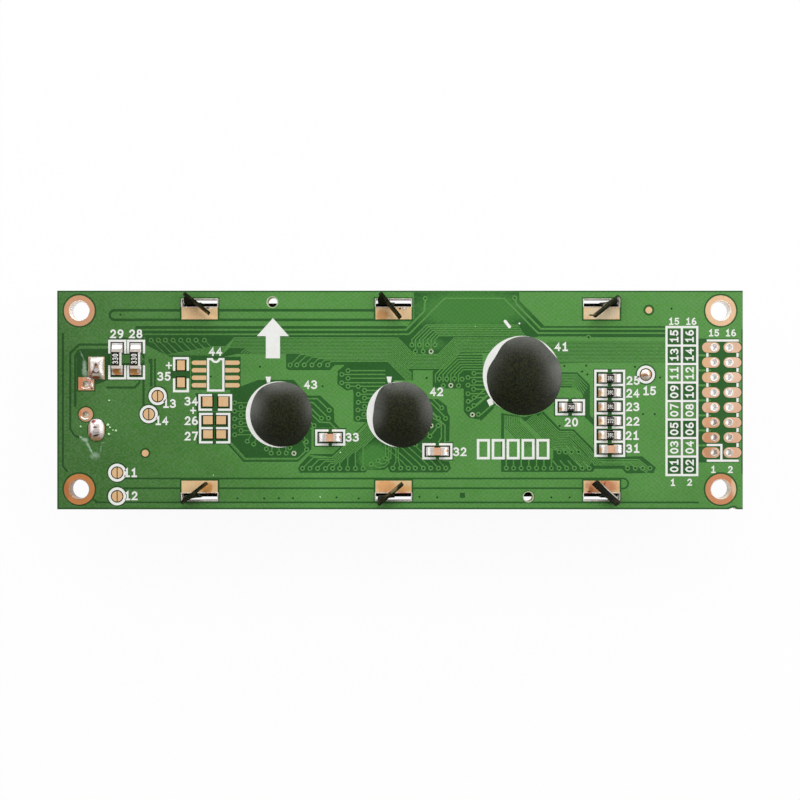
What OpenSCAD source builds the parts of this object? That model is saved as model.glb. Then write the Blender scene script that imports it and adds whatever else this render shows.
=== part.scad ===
// Two-line character LCD module, lying on its display face.
// +Z points out of the component side, +X runs along the board to the header.
// The origin is on the resting plane, under the middle of the board.
// All sizes are in millimetres.

/* [Board] */
// Length of the circuit board
board_w = 116; // [115.5:0.1:118]
// Height of the circuit board
board_h = 37; // [36.4:0.1:38]
// Thickness of the circuit board
board_t = 1.6; // [1.2:0.1:1.6]
// Distance between the mounting holes along the board
hole_pitch_x = 108.5; // [106.5:0.5:108.5]
// Distance between the mounting holes across the board
hole_pitch_y = 30.2; // [29.4:0.1:30.6]
// Diameter of the mounting holes
mount_hole_d = 3.3; // [3:0.1:3.5]
// Diameter of the bare copper ring round a mounting hole
mount_ring_d = 5.2; // [4.6:0.1:5.4]
// Thickness of the bare copper pads
copper_t = 0.05; // [0.03:0.01:0.06]

/* [Bezel] */
// Length of the folded metal bezel
bezel_w = 98.5; // [98:0.1:99]
// Height of the folded metal bezel
bezel_h = 33; // [32.8:0.1:33.3]
// Depth from the bezel's face to the board
bezel_depth = 8.9; // [8.7:0.1:9.6]
// Thickness of the bezel's sheet metal
sheet_t = 0.4; // [0.35:0.05:0.5]
// Outside radius of the bezel's bends
bend_r = 0.8; // [0.7:0.05:1.2]
// Length of the window in the bezel
window_w = 85; // [80:1:87]
// Height of the window in the bezel
window_h = 18.6; // [16:0.2:19.4]
// Width of a twist tab
tab_w = 5.8; // [5:0.1:5.9]
// Height of a twist tab above the board
tab_rise = 1.7; // [1.4:0.1:2]
// Width of the slot in the board that a tab passes through
slot_w = 6.1; // [6:0.1:6.4]

/* [Display] */
// Length of the display glass
glass_w = 93; // [90:0.5:95]
// Thickness of each glass plate
glass_t = 1.1; // [0.7:0.1:1.1]
// Height of the front glass, with its two contact ledges
front_glass_h = 29.2; // [28.8:0.2:30.4]
// Height of the rear glass
rear_glass_h = 24.4; // [24:0.1:24.8]
// Thickness of a polarizer sheet
polarizer_t = 0.2; // [0.1:0.05:0.25]
// Thickness of the light guide
guide_t = 3.5; // [3:0.1:3.6]

/* [Header] */
// Distance between neighbouring pins
pin_pitch = 2.54; // [2:0.02:2.54]
// Number of pin rows
pin_rows = 8; // [7:1:8]
// Diameter of a pin hole
pin_hole_d = 1; // [0.8:0.05:1.1]
// Length of a pin pad
pad_len = 3; // [2.7:0.1:3.1]
// Height of a pin pad
pad_h = 1.75; // [1.5:0.05:1.85]

/* [Components] */
// Height of the resin over the bare chips
resin_rise = 1.5; // [1.2:0.1:1.8]
// Height of the solder on the backlight pads
solder_rise = 0.85; // [0.6:0.05:1]

/* [Legend] */
// Width of a printed line
line_w = 0.37; // [0.25:0.01:0.42]
// Thickness of the printed ink
ink_t = 0.04; // [0.02:0.01:0.05]

/* [Hidden] */
$fn = 48;
board_z = bezel_depth;
top_z = board_z + board_t;
pad_z = top_z + copper_t;
front_glass_z = sheet_t + polarizer_t;
rear_glass_z = front_glass_z + glass_t;
rear_polarizer_z = rear_glass_z + glass_t;
light_z = rear_polarizer_z + polarizer_t;

// Slots for the twist tabs: distances of their edges from the long axis
slot_in = 15.75;
slot_out = 17.05;
tab_pad_in = 13.65;
// Each tab: slot centre x, side, twist, shift of its head along x and y, lean of its head
TABS = [
    [-33.9, 1, -38.5, -0.35, -0.2, 0.3],
    [-1.1, 1, -51, -0.65, -0.5, 0.3],
    [34.1, 1, 38.5, 0.5, -0.45, -0.3],
    [-33.9, -1, 38.5, -0.65, 0.6, 0.2],
    [-1.1, -1, 40.5, -0.6, 0.6, -0.25],
    [34.1, -1, -42, 0.35, 0.35, 0.8]
];
TAB_LEVELS = 6;

// Holes that line the board up in its test jig: x, y, diameter
JIG_HOLES = [[-21.6, 16.55, 1.65], [21.7, -16.4, 1.6]];

// Header columns
col_left_x = 54.42 - pin_pitch / 2;
col_right_x = 54.42 + pin_pitch / 2;
pad_offset = pad_len / 2 - 0.95;
row_top = (pin_rows - 1) * pin_pitch / 2;

// Backlight pins: x and y of each, and the size of its soldered land
anode_at = [-51.1, 5];
cathode_at = [-51.1, -5.1];
backlight_pin_d = 0.7;
LAND_ANODE = [-52.7, 3.5, -50, 7.3];
LAND_CATHODE = [-52.7, -6.9, -50, -3.2];
square_wire_at = [-53.16, 2.72];
round_wire_at = [-53.15, -2.45];
wire_hole_d = 1.1;

// Chip sizes: length, width, body height, terminal length
SIZE_1206 = [3.2, 1.6, 0.5, 0.45];
SIZE_0805 = [2, 1.25, 0.45, 0.38];
SIZE_CAP = [2, 1.25, 0.75, 0.42];
plating_t = 0.05;
// Chip places: x, y, turn
CHIPS_1206 = [[-47.85, 6.95, 90], [-44.7, 6.95, 90]];
CHIPS_0805 = [
    for (row = [0 : 4]) [35.5, 3.68 - 2.4 * row, 0],
    [28.82, -1.2, 0]
];
CHIPS_CAP = [[35.62, -8.3, 0], [-11.8, -6.35, 0], [6.32, -8.68, 0]];
// Reach of the soldered lands from a chip's middle
REACH_1206 = 2.7;
REACH_0805 = 1.93;

// Resin caps: centre, half length, half height, swellings as [angle, spread, amount]
RESIN_LEFT = [[-20.1, -2.43], 5.25, 5.48, [[130, 22, 0.2], [56, 18, 0.15], [-58, 20, 0.18]]];
RESIN_MIDDLE = [[0.45, -2.5], 5.1, 5.55, [[126, 19, 0.45], [217, 20, 0.36], [172, 12, -0.15]]];
RESIN_RIGHT = [[21, 4.1], 6.35, 6.68, [[146, 21, -0.62], [46, 18, -0.38], [-42, 24, 0.15], [218, 22, 0.2]]];

// Printed rings round the bare chips: centre and outer diameter
RING_LEFT = [[-20.5, -2.45], 11.2];
RING_MIDDLE = [[-0.1, -2.45], 11.1];
RING_RIGHT = [[20.6, 4.25], 13.2];
ring_band = 1.7;

// Solder jumpers, the last one bridged
JUMPERS = [[-47.85, -12.3], [-47.85, -16.3], [-41, 0.65], [-42.5, -2.4], [41.6, 4.3]];
jumper_ring_d = 3.05;
jumper_pad_d = 1.8;

// Spare eight-pin chip
spare_ic_at = [-31.17, 4.4];
spare_ic_pitch = 1.27;

// ---- Functions ----

// Sum of a list
function total(v, i = 0) = i < len(v) ? v[i] + total(v, i + 1) : 0;

// An angle brought between -180 and 180 degrees
function near_zero(a) = a - 360 * floor((a + 180) / 360);

// Radius of an oval at angle a, swollen or dented by bell curves
function oval_radius(a, rx, ry, swells) =
    1 / sqrt(pow(cos(a) / rx, 2) + pow(sin(a) / ry, 2))
    + total([for (s = swells) s[2] * exp(-pow(near_zero(a - s[0]) / s[1], 2))]);

// Smooth step from 0 to 1
function ease(t) = let (u = max(0, min(1, t))) u * u * (3 - 2 * u);

// ---- Shared shapes ----

// Box given by its two opposite corners in plan, its foot and its height
module slab(x0, y0, x1, y1, z, h) {
    translate([x0, y0, z])
        cube([x1 - x0, y1 - y0, h]);
}

// Flat disc or ring
module ring(at, outer_d, inner_d, z, h) {
    translate([at[0], at[1], z])
        difference() {
            cylinder(d = outer_d, h = h);
            if (inner_d > 0)
                translate([0, 0, -1])
                    cylinder(d = inner_d, h = h + 2);
        }
}

// Strip with two round ends, lying along X
module stadium_2d(length, height) {
    square([length - height, height], center = true);
    for (s = [-1, 1])
        translate([s * (length - height) / 2, 0])
            circle(d = height);
}

// Low dome on an oval base: steeper at its rim, flat on top
module dome(at, rx, ry, swells, z, rise, sides = 56, rings = 7) {
    reach = [for (k = [0 : sides - 1]) oval_radius(360 * k / sides, rx, ry, swells)];
    share = [for (j = [0 : rings - 1]) cos(90 * j / rings)];
    points = concat(
        [for (j = [0 : rings - 1]) for (k = [0 : sides - 1]) [
            at[0] + share[j] * reach[k] * cos(360 * k / sides),
            at[1] + share[j] * reach[k] * sin(360 * k / sides),
            z + rise * (1 - pow(share[j], 2.4))
        ]],
        [[at[0], at[1], z + rise]]
    );
    walls = [for (j = [0 : rings - 2]) for (k = [0 : sides - 1]) [
        (j + 1) * sides + k,
        (j + 1) * sides + (k + 1) % sides,
        j * sides + (k + 1) % sides,
        j * sides + k
    ]];
    crown = [for (k = [0 : sides - 1]) [
        rings * sides,
        (rings - 1) * sides + (k + 1) % sides,
        (rings - 1) * sides + k
    ]];
    polyhedron(points, concat(walls, crown, [[for (k = [0 : sides - 1]) k]]), convexity = 2);
}

// Three sides of a printed frame; the fourth, on the side given, is open
module bracket_2d(x0, y0, x1, y1, open) {
    difference() {
        translate([x0, y0])
            square([x1 - x0, y1 - y0]);
        translate([
            x0 + (open[0] < 0 ? -1 : line_w),
            y0 + (open[1] < 0 ? -1 : line_w)
        ])
            square([
                x1 - x0 - line_w + (open[0] == 0 ? -line_w : 1),
                y1 - y0 - line_w + (open[1] == 0 ? -line_w : 1)
            ]);
    }
}

// Printed frame with a break in the middle of both long sides
module broken_frame_2d(x0, y0, x1, y1, gap) {
    mid = (x0 + x1) / 2;
    bracket_2d(x0, y0, mid - gap / 2, y1, [1, 0]);
    bracket_2d(mid + gap / 2, y0, x1, y1, [-1, 0]);
}

// ---- Board and bezel ----

module circuit_board() {
    color("forestgreen")
        difference() {
            translate([0, 0, board_z])
                linear_extrude(board_t)
                    board_outline_2d();
            for (tab = TABS)
                slab(
                    tab[0] - slot_w / 2, tab[1] > 0 ? slot_in : -slot_out,
                    tab[0] + slot_w / 2, tab[1] > 0 ? slot_out : -slot_in,
                    board_z - 1, board_t + 2
                );
            for (x = [-1, 1], y = [-1, 1])
                board_hole([x * hole_pitch_x / 2, y * hole_pitch_y / 2], mount_hole_d);
            for (hole = JIG_HOLES)
                board_hole([hole[0], hole[1]], hole[2]);
            for (row = [0 : pin_rows - 1], x = [col_left_x, col_right_x])
                board_hole([x, row_top - row * pin_pitch], pin_hole_d);
            for (at = [square_wire_at, round_wire_at])
                board_hole(at, wire_hole_d);
            for (at = [anode_at, cathode_at])
                board_hole(at, backlight_pin_d);
        }
}

module board_hole(at, d) {
    translate([at[0], at[1], board_z - 1])
        cylinder(d = d, h = board_t + 2);
}

// Board outline, with the chip broken out of its edge where it was snapped off
module board_outline_2d() {
    difference() {
        square([board_w, board_h], center = true);
        translate([board_w / 2 - 1.5, -board_h / 2])
            polygon([[-1, -1], [-0.9, 0], [-0.15, 0.35], [0.1, 0.32], [0.45, 0], [0.5, -1]]);
    }
}

// One piece of sheet metal: face with a window, four folded walls, six twist tabs
module bezel() {
    color("#20201c") {
        difference() {
            union() {
                folded_channel(bezel_w - 2 * bend_r, bezel_h);
                rotate([0, 0, 90])
                    folded_channel(bezel_h - 2 * bend_r, bezel_w);
            }
            window_opening();
            slab(-bezel_w / 2 - 1, -8, -bezel_w / 2 + bend_r, 8, 3.4, bezel_depth);
            tab_reliefs();
        }
        for (tab = TABS)
            twisted_tab(tab);
    }
}

// Sheet bent into a shallow U: its face down, its two walls along X
module folded_channel(length, width) {
    translate([-length / 2, 0, 0])
        rotate([90, 0, 90])
            linear_extrude(length)
                difference() {
                    pan_2d(width, bezel_depth, bend_r);
                    translate([0, sheet_t])
                        pan_2d(width - 2 * sheet_t, bezel_depth, bend_r - sheet_t);
                }
}

// Rectangle whose two lower corners are rounded
module pan_2d(width, height, r) {
    translate([-width / 2, r])
        square([width, height - r]);
    translate([-width / 2 + r, 0])
        square([width - 2 * r, r]);
    for (s = [-1, 1])
        translate([s * (width / 2 - r), r])
            circle(r = r);
}

// Window with a coined edge that slopes in from the face
module window_opening() {
    coin = 0.3;
    translate([0, 0, sheet_t / 2])
        cube([window_w, window_h, 2 * sheet_t], center = true);
    hull() {
        translate([0, 0, -coin])
            cube([window_w + 4 * coin, window_h + 4 * coin, 0.02], center = true);
        translate([0, 0, coin])
            cube([window_w, window_h, 0.02], center = true);
    }
}

// Notches beside each tab, so that it can be twisted
module tab_reliefs() {
    for (tab = TABS, s = [-1, 1])
        translate([
            tab[0] + s * (tab_w / 2 + 0.3),
            tab[1] * (bezel_h - sheet_t) / 2,
            bezel_depth
        ])
            cube([0.6, sheet_t + 0.4, 1.6], center = true);
}

// Tab with a neck that passes its slot and turns, and a wide head that is left over the board
module twisted_tab(tab) {
    turn_z = pad_z + 0.02;
    head_z = turn_z + 0.6;
    tip_z = top_z + tab_rise;
    corner = 0.25;
    wide = tab_w / 2 - 0.15;
    // The neck is nearer the end of the head that swings outwards
    outer = tab[1] * tab[2] < 0 ? -1 : 1;
    low = outer > 0 ? -0.2 : -2.5;
    high = outer > 0 ? 2.5 : 0.2;
    // Sections: height, share of the twist, both ends of the width, lean
    sections = concat(
        [[bezel_depth, 0, low, high, 0]],
        [for (j = [0 : TAB_LEVELS]) let (t = j / TAB_LEVELS)
            [turn_z + (head_z - turn_z) * t, ease(t), low, high, 0]],
        [[head_z + 0.05, 1, -wide, wide, 0]],
        [[tip_z - corner, 1, -wide, wide, 0.8 * tab[5]]],
        [[tip_z, 1, corner - wide, wide - corner, tab[5]]]
    );
    points = [for (cut = sections)
        for (end = [[cut[2], -1], [cut[3], -1], [cut[3], 1], [cut[2], 1]])
            let (u = end[0], v = end[1] * sheet_t / 2 + cut[4], a = tab[2] * cut[1]) [
                tab[0] + u * cos(a) - v * sin(a) + tab[3] * cut[1],
                tab[1] * (bezel_h - sheet_t) / 2 + u * sin(a) + v * cos(a) + tab[4] * cut[1],
                cut[0]
            ]
    ];
    last = len(sections) - 1;
    sides = [for (j = [0 : last - 1]) for (k = [0 : 3]) for (half = [0, 1])
        half == 0
            ? [4 * j + k, 4 * (j + 1) + k, 4 * j + (k + 1) % 4]
            : [4 * j + (k + 1) % 4, 4 * (j + 1) + k, 4 * (j + 1) + (k + 1) % 4]
    ];
    caps = [[0, 1, 2, 3], [4 * last + 3, 4 * last + 2, 4 * last + 1, 4 * last]];
    polyhedron(points, concat(sides, caps), convexity = 4);
}

// ---- Display ----

module front_polarizer() {
    color("darkolivegreen")
        slab(-45, -11, 45, 11, sheet_t, polarizer_t);
}

module front_glass() {
    color("lightcyan")
        slab(-glass_w / 2, -front_glass_h / 2, glass_w / 2, front_glass_h / 2, front_glass_z, glass_t);
}

module rear_glass() {
    color("lightcyan")
        slab(-glass_w / 2, -rear_glass_h / 2, glass_w / 2, rear_glass_h / 2, rear_glass_z, glass_t);
}

module rear_polarizer() {
    color("darkolivegreen")
        slab(-45.5, -11.6, 45.5, 11.6, rear_polarizer_z, polarizer_t);
}

// Drop of adhesive that closes the filling port in the end of the glass
module fill_port_seal() {
    color("gold")
        intersection() {
            translate([glass_w / 2, 2, rear_glass_z])
                sphere(r = 0.9, $fn = 24);
            slab(glass_w / 2, 0, glass_w / 2 + 2, 4, rear_glass_z - 0.6, 1.2);
        }
}

// Conductive rubber strip between the glass ledge and the board
module zebra_strip(side) {
    color("dimgray")
        translate([-44, side * 13.45 - 0.9, rear_glass_z])
            cube([88, 1.8, board_z - rear_glass_z]);
}

module zebra_strip_upper() {
    zebra_strip(1);
}

module zebra_strip_lower() {
    zebra_strip(-1);
}

// ---- Backlight ----

// Moulded tray for the light guide, with an ear that leaves the bezel on the left
module backlight_frame() {
    color("white")
        difference() {
            union() {
                slab(-48.6, -12.4, 46.6, 12.4, light_z, board_z - light_z);
                slab(-52.6, -7.6, -48.6, 7.6, 3.6, board_z - 3.6);
            }
            slab(-49, -10.8, 45.5, 10.8, light_z - 1, 1 + 0.2 + guide_t + 0.15);
            slab(-50.4, -6.9, -48.9, 6.9, 4, board_z);
            for (at = [anode_at, cathode_at])
                slab(at[0] - 0.55, at[1] - 0.6, -50.3, at[1] + 0.6, 4, board_z);
        }
}

module light_guide() {
    color("honeydew")
        slab(-48.9, -10.7, 45.4, 10.7, light_z + 0.2, guide_t);
}

module diffuser_film() {
    color("ivory")
        slab(-45.2, -10.7, 45.4, 10.7, light_z, 0.2);
}

module reflector_film() {
    color("silver")
        slab(-48.9, -10.7, 45.4, 10.7, light_z + 0.2 + guide_t, 0.15);
}

module led_board() {
    color("seagreen")
        slab(-50.4, -6.7, -49.7, 6.7, 4, 4.4);
}

// Five small lamps that face the edge of the light guide
module led_chips() {
    color("yellow")
        for (k = [-2 : 2])
            slab(-49.7, 2.5 * k - 0.8, -49, 2.5 * k + 0.8, 4.5, 1);
}

// Round pin with a foot that is soldered to the back of the lamp board
module backlight_pin(at) {
    color("silver") {
        translate([at[0], at[1], 4.6])
            cylinder(d = backlight_pin_d, h = top_z + solder_rise + 0.1 - 4.6);
        slab(at[0], at[1] - 0.25, -50.4, at[1] + 0.25, 4.6, 1.2);
    }
}

module backlight_pin_anode() {
    backlight_pin(anode_at);
}

module backlight_pin_cathode() {
    backlight_pin(cathode_at);
}

// Solder heaped round a backlight pin
module backlight_solder(at, land, turn, swells) {
    mid = [(land[0] + land[2]) / 2, (land[1] + land[3]) / 2];
    color("gainsboro")
        difference() {
            dome(mid, (land[2] - land[0]) / 2 - 0.1, (land[3] - land[1]) / 2 - 0.12, swells,
                 pad_z, solder_rise - copper_t, sides = 40, rings = 6);
            translate([at[0], at[1], top_z - 1])
                cylinder(d = backlight_pin_d, h = 4);
        }
}

module backlight_solder_anode() {
    backlight_solder(anode_at, LAND_ANODE, 0,
        [[54, 14, 0.42], [126, 14, 0.42], [-54, 14, 0.36], [-126, 14, 0.1]]);
}

module backlight_solder_cathode() {
    backlight_solder(cathode_at, LAND_CATHODE, 0,
        [[40, 16, 0.1], [140, 16, 0.1], [-40, 16, 0.1], [-140, 16, 0.1]]);
}

// ---- Resin over the bare chips ----

// The resin lies on the printed band and fills the bare board inside it
module resin_cap(cap, printed) {
    color("#26271c") {
        dome(cap[0], cap[1], cap[2], cap[3], top_z + ink_t, resin_rise - ink_t);
        ring(printed[0], printed[1] - 2 * ring_band, 0, top_z, ink_t + 0.2);
    }
}

module resin_cap_left() {
    resin_cap(RESIN_LEFT, RING_LEFT);
}

module resin_cap_middle() {
    resin_cap(RESIN_MIDDLE, RING_MIDDLE);
}

module resin_cap_right() {
    resin_cap(RESIN_RIGHT, RING_RIGHT);
}

// ---- Small chips ----

// Puts a shape at a chip's place and turn, on top of its lands
module at_chip(place) {
    translate([place[0], place[1], pad_z])
        rotate([0, 0, place[2]])
            children();
}

module chip_body(size) {
    translate([-size[0] / 2, -size[1] / 2, plating_t])
        cube([size[0], size[1], size[2]]);
}

// Plated end of a chip: wraps its end, its top and its foot
module chip_terminals(size) {
    for (s = [0, 180])
        rotate([0, 0, s])
            difference() {
                translate([size[0] / 2 - size[3], -size[1] / 2, 0])
                    cube([size[3] + plating_t, size[1], size[2] + 2 * plating_t]);
                chip_body(size);
            }
}

// Concave solder fillet against both ends of a chip
module chip_fillets(size, reach, rise) {
    run = reach - size[0] / 2 - plating_t - 0.1;
    profile = concat(
        [[0, 0], [run, 0]],
        [for (k = [1 : 6]) [run * (1 - k / 6), rise * pow(k / 6, 2)]]
    );
    for (s = [0, 180])
        rotate([0, 0, s])
            translate([size[0] / 2 + plating_t, size[1] / 2, 0])
                rotate([90, 0, 0])
                    linear_extrude(size[1])
                        polygon(profile);
}

// Two lands under a chip
module chip_land_pair(size, reach) {
    for (s = [0, 180])
        rotate([0, 0, s])
            translate([size[0] / 2 - size[3] - 0.1, -size[1] / 2 - 0.12, -copper_t])
                cube([reach - size[0] / 2 + size[3] + 0.1, size[1] + 0.24, copper_t]);
}

module resistor_bodies() {
    color("white") {
        for (place = CHIPS_1206)
            at_chip(place) chip_body(SIZE_1206);
        for (place = CHIPS_0805)
            at_chip(place) chip_body(SIZE_0805);
    }
}

// Black glass coat on top of a resistor, between its terminals, with a bare strip beside it
module resistor_coat(size, bare) {
    translate([-size[0] / 2 + size[3], -size[1] / 2 + bare, size[2] + plating_t])
        cube([size[0] - 2 * size[3], size[1] - bare - 0.02, plating_t]);
}

module resistor_coats() {
    color("#1c1a16") {
        for (place = CHIPS_1206)
            at_chip(place) resistor_coat(SIZE_1206, 0.28);
        for (place = CHIPS_0805)
            at_chip(place) resistor_coat(SIZE_0805, 0.02);
    }
}

module resistor_terminals() {
    color("gainsboro") {
        for (place = CHIPS_1206)
            at_chip(place) chip_terminals(SIZE_1206);
        for (place = CHIPS_0805)
            at_chip(place) chip_terminals(SIZE_0805);
    }
}

module capacitor_bodies() {
    color("#cfae86")
        for (place = CHIPS_CAP)
            at_chip(place) chip_body(SIZE_CAP);
}

module capacitor_terminals() {
    color("gainsboro")
        for (place = CHIPS_CAP)
            at_chip(place) chip_terminals(SIZE_CAP);
}

module chip_lands() {
    color("#e0b48c") {
        for (place = CHIPS_1206)
            at_chip(place) chip_land_pair(SIZE_1206, REACH_1206);
        for (place = concat(CHIPS_0805, CHIPS_CAP))
            at_chip(place) chip_land_pair(SIZE_0805, REACH_0805);
    }
}

module chip_solder() {
    color("gainsboro") {
        for (place = CHIPS_1206)
            at_chip(place) chip_fillets(SIZE_1206, REACH_1206, 0.42);
        for (place = CHIPS_0805)
            at_chip(place) chip_fillets(SIZE_0805, REACH_0805, 0.38);
        for (place = CHIPS_CAP)
            at_chip(place) chip_fillets(SIZE_CAP, REACH_0805, 0.5);
    }
}

// ---- Bare copper ----

// Rings on both faces of the board
module mounting_rings() {
    color("#d9a27c")
        for (x = [-1, 1], y = [-1, 1], z = [top_z, board_z - copper_t])
            ring([x * hole_pitch_x / 2, y * hole_pitch_y / 2], mount_ring_d, mount_hole_d, z, copper_t);
}

// Long pads with one off-centre hole each, on both faces of the board
module header_pads() {
    color("#e0b48c")
        for (row = [0 : pin_rows - 1], side = [-1, 1], z = [top_z, board_z - copper_t])
            translate([side < 0 ? col_left_x : col_right_x, row_top - row * pin_pitch, z])
                linear_extrude(copper_t)
                    difference() {
                        translate([side * pad_offset, 0])
                            stadium_2d(pad_len, pad_h);
                        circle(d = pin_hole_d);
                    }
}

module tab_pads() {
    color("#e0b48c")
        for (tab = TABS)
            slab(
                tab[0] - slot_w / 2, tab[1] > 0 ? tab_pad_in : -slot_in,
                tab[0] + slot_w / 2, tab[1] > 0 ? slot_in : -tab_pad_in,
                top_z, copper_t
            );
}

module backlight_lands() {
    color("#d9b08a")
        difference() {
            union() {
                slab(LAND_ANODE[0], LAND_ANODE[1], LAND_ANODE[2], LAND_ANODE[3], top_z, copper_t);
                translate([
                    (LAND_CATHODE[0] + LAND_CATHODE[2]) / 2,
                    (LAND_CATHODE[1] + LAND_CATHODE[3]) / 2,
                    top_z
                ])
                    linear_extrude(copper_t)
                        rotate([0, 0, 90])
                            stadium_2d(
                                LAND_CATHODE[3] - LAND_CATHODE[1],
                                LAND_CATHODE[2] - LAND_CATHODE[0]
                            );
            }
            for (at = [anode_at, cathode_at])
                translate([at[0], at[1], top_z - 1])
                    cylinder(d = backlight_pin_d, h = 2);
        }
}

module wire_pads() {
    color("#d9976c") {
        difference() {
            slab(-54.4, 1.65, -51.75, 3.85, top_z, copper_t);
            slab(LAND_ANODE[0], LAND_ANODE[1], LAND_ANODE[2], LAND_ANODE[3], top_z - 1, 2);
            translate([square_wire_at[0], square_wire_at[1], top_z - 1])
                cylinder(d = wire_hole_d, h = 2);
        }
        ring(round_wire_at, 2.4, wire_hole_d, top_z, copper_t);
    }
}

// Eight lands for a chip that is left off
module spare_ic_pads() {
    color("#e8c4a0")
        for (row = [-1.5 : 1.5], side = [0, 180])
            translate([spare_ic_at[0], spare_ic_at[1], top_z])
                rotate([0, 0, side])
                    translate([0, row * spare_ic_pitch, 0])
                        linear_extrude(copper_t) {
                            translate([1.6, -0.37])
                                square([2.1, 0.74]);
                            translate([3.7, 0])
                                circle(d = 0.74);
                        }
}

// Lands for chips that are left off
module spare_part_pads() {
    color("#e8c4a0") {
        for (y = [2.15, 5.05])
            slab(-37.7, y, -36.4, y + 1.65, top_z, copper_t);
        for (x = [-33.4, -30.7])
            slab(x, -1.1, x + 1.65, 0.55, top_z, copper_t);
        for (x = [-33.3, -31.05], y = [-4.1, -6.5])
            slab(x, y, x + 1.6, y + 1.4, top_z, copper_t);
    }
}

// Two half discs with a slit between them
module jumper_pads() {
    color("#e0b48c")
        for (at = JUMPERS)
            difference() {
                ring(at, jumper_pad_d, 0, top_z, copper_t);
                translate([at[0], at[1], top_z])
                    cube([0.16, jumper_pad_d + 1, 1], center = true);
            }
}

// Solder that joins the two halves of the last jumper
module jumper_bridge() {
    color("gainsboro")
        dome(JUMPERS[4], 0.86, 0.84, [], pad_z, 0.32, sides = 28, rings = 5);
}

module test_pads() {
    color("#e8bfa0")
        for (at = [[-43.1, -9], [42.1, 15.2]])
            ring(at, 1.15, 0, top_z, copper_t);
}

// ---- Printed legend ----

module ink() {
    color("white")
        translate([0, 0, top_z])
            linear_extrude(ink_t)
                children();
}

module legend_part_outlines() {
    ink() {
        for (k = [1, 2])
            translate([CHIPS_CAP[k][0], CHIPS_CAP[k][1]])
                broken_frame_2d(-2.55, -1.37, 2.55, 1.37, 0.6);
        translate([28.78, -1.23])
            broken_frame_2d(-2.52, -1.37, 2.52, 1.37, 0.65);
        for (x = [-47.83, -44.65])
            translate([x, 6.84]) {
                bracket_2d(-1.53, 1.02, 1.53, 3.36, [0, -1]);
                bracket_2d(-1.53, -3.36, 1.53, -0.98, [0, 1]);
            }
        for (row = [0 : 5])
            translate([35.48, 3.75 - 2.4 * row])
                broken_frame_2d(-2.62, -1.38, 2.62, 1.38, 0.7);
        spare_ic_outline_2d();
        bracket_2d(-38.4, 4.95, -35.7, 7.25, [0, -1]);
        bracket_2d(-38.4, 1.3, -35.7, 3.65, [0, 1]);
        bracket_2d(-34.1, -1.83, -31.8, 1, [1, 0]);
        bracket_2d(-30.8, -1.83, -28.4, 1, [-1, 0]);
        for (y = [-4.95, -7.35]) {
            bracket_2d(-34, y, -31.7, y + 2.77, [1, 0]);
            bracket_2d(-31.1, y, -28.7, y + 2.77, [-1, 0]);
        }
    }
}

// Outline of the spare chip, with a round notch at its first pin
module spare_ic_outline_2d() {
    difference() {
        union() {
            difference() {
                translate([-32.65, 1.43])
                    square([2.95, 5.67]);
                translate([-32.65 + line_w, 1.43 + line_w])
                    square([2.95 - 2 * line_w, 5.67 - 2 * line_w]);
            }
            intersection() {
                translate([-31.17, 7.1])
                    circle(r = 0.85);
                translate([-32.65, 1.43])
                    square([2.95, 5.67]);
            }
        }
        translate([-31.17, 7.1])
            circle(r = 0.85 - line_w);
    }
}

// Bands that the resin is poured against, each with a mark at its first pin
module legend_chip_rings() {
    color("white")
        for (printed = [RING_LEFT, RING_MIDDLE, RING_RIGHT])
            ring(printed[0], printed[1], printed[1] - 2 * ring_band, top_z, ink_t);
    ink() {
        for (x = [-22.25, -1.8])
            translate([x, 3.95])
                polygon([[-0.48, 0], [0.42, 0], [0.25, -1], [-0.25, -1]]);
        translate([15.25, -0.35])
            rotate([0, 0, 35])
                polygon([[-0.5, -0.5], [0.3, -0.6], [0.6, 0.5], [-0.3, 0.55]]);
        translate([18.15, 12.85])
            rotate([0, 0, -52])
                stadium_2d(1.7, 0.5);
        translate([20.2, 12.95])
            circle(d = 0.32);
    }
}

module legend_jumper_rings() {
    color("white")
        for (at = JUMPERS)
            ring(at, jumper_ring_d, jumper_ring_d - 0.9, top_z, ink_t);
}

// Table of the sixteen pins: two columns of eight cells
module legend_pin_table() {
    pitch = 3.13;
    ink() {
        for (x = [44.9, 47.5, 50.1])
            translate([x, -12.7 - line_w / 2])
                square([line_w, 8 * pitch + line_w]);
        for (row = [0 : 8], x = [44.9, 47.5])
            translate([x + line_w, -12.7 + row * pitch - line_w / 2])
                square([2.6 - line_w, line_w]);
    }
}

// Frame of the header, its ticks between the rows, and the box at pin 1
module legend_header_marks() {
    top_y = row_top + pad_h / 2 + 0.3;
    low_y = -row_top - pad_h / 2 - 0.5;
    box_y = -row_top + pin_pitch / 2;
    ink() {
        translate([51.9, top_y - line_w / 2])
            square([5.4, line_w]);
        translate([51.9, low_y - line_w / 2])
            square([5.4, line_w]);
        for (row = [0 : pin_rows - 2], x = [52, 57.1])
            if (x > 55 || row < pin_rows - 2)
                translate([x - line_w / 2, row_top - (row + 0.5) * pin_pitch - 0.33])
                    square([line_w, 0.66]);
        translate([51.9, box_y - line_w / 2])
            square([2.65, line_w]);
        translate([54.55 - line_w, low_y])
            square([line_w, box_y - low_y]);
    }
}

// Arrow that points to the top of the display
module legend_arrow() {
    ink()
        translate([-21.5, 13.85])
            polygon([
                [0, 0], [2.72, -3.05], [1.2, -3.05], [1.2, -6.8],
                [-1.2, -6.8], [-1.2, -3.05], [-2.72, -3.05]
            ]);
}

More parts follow.
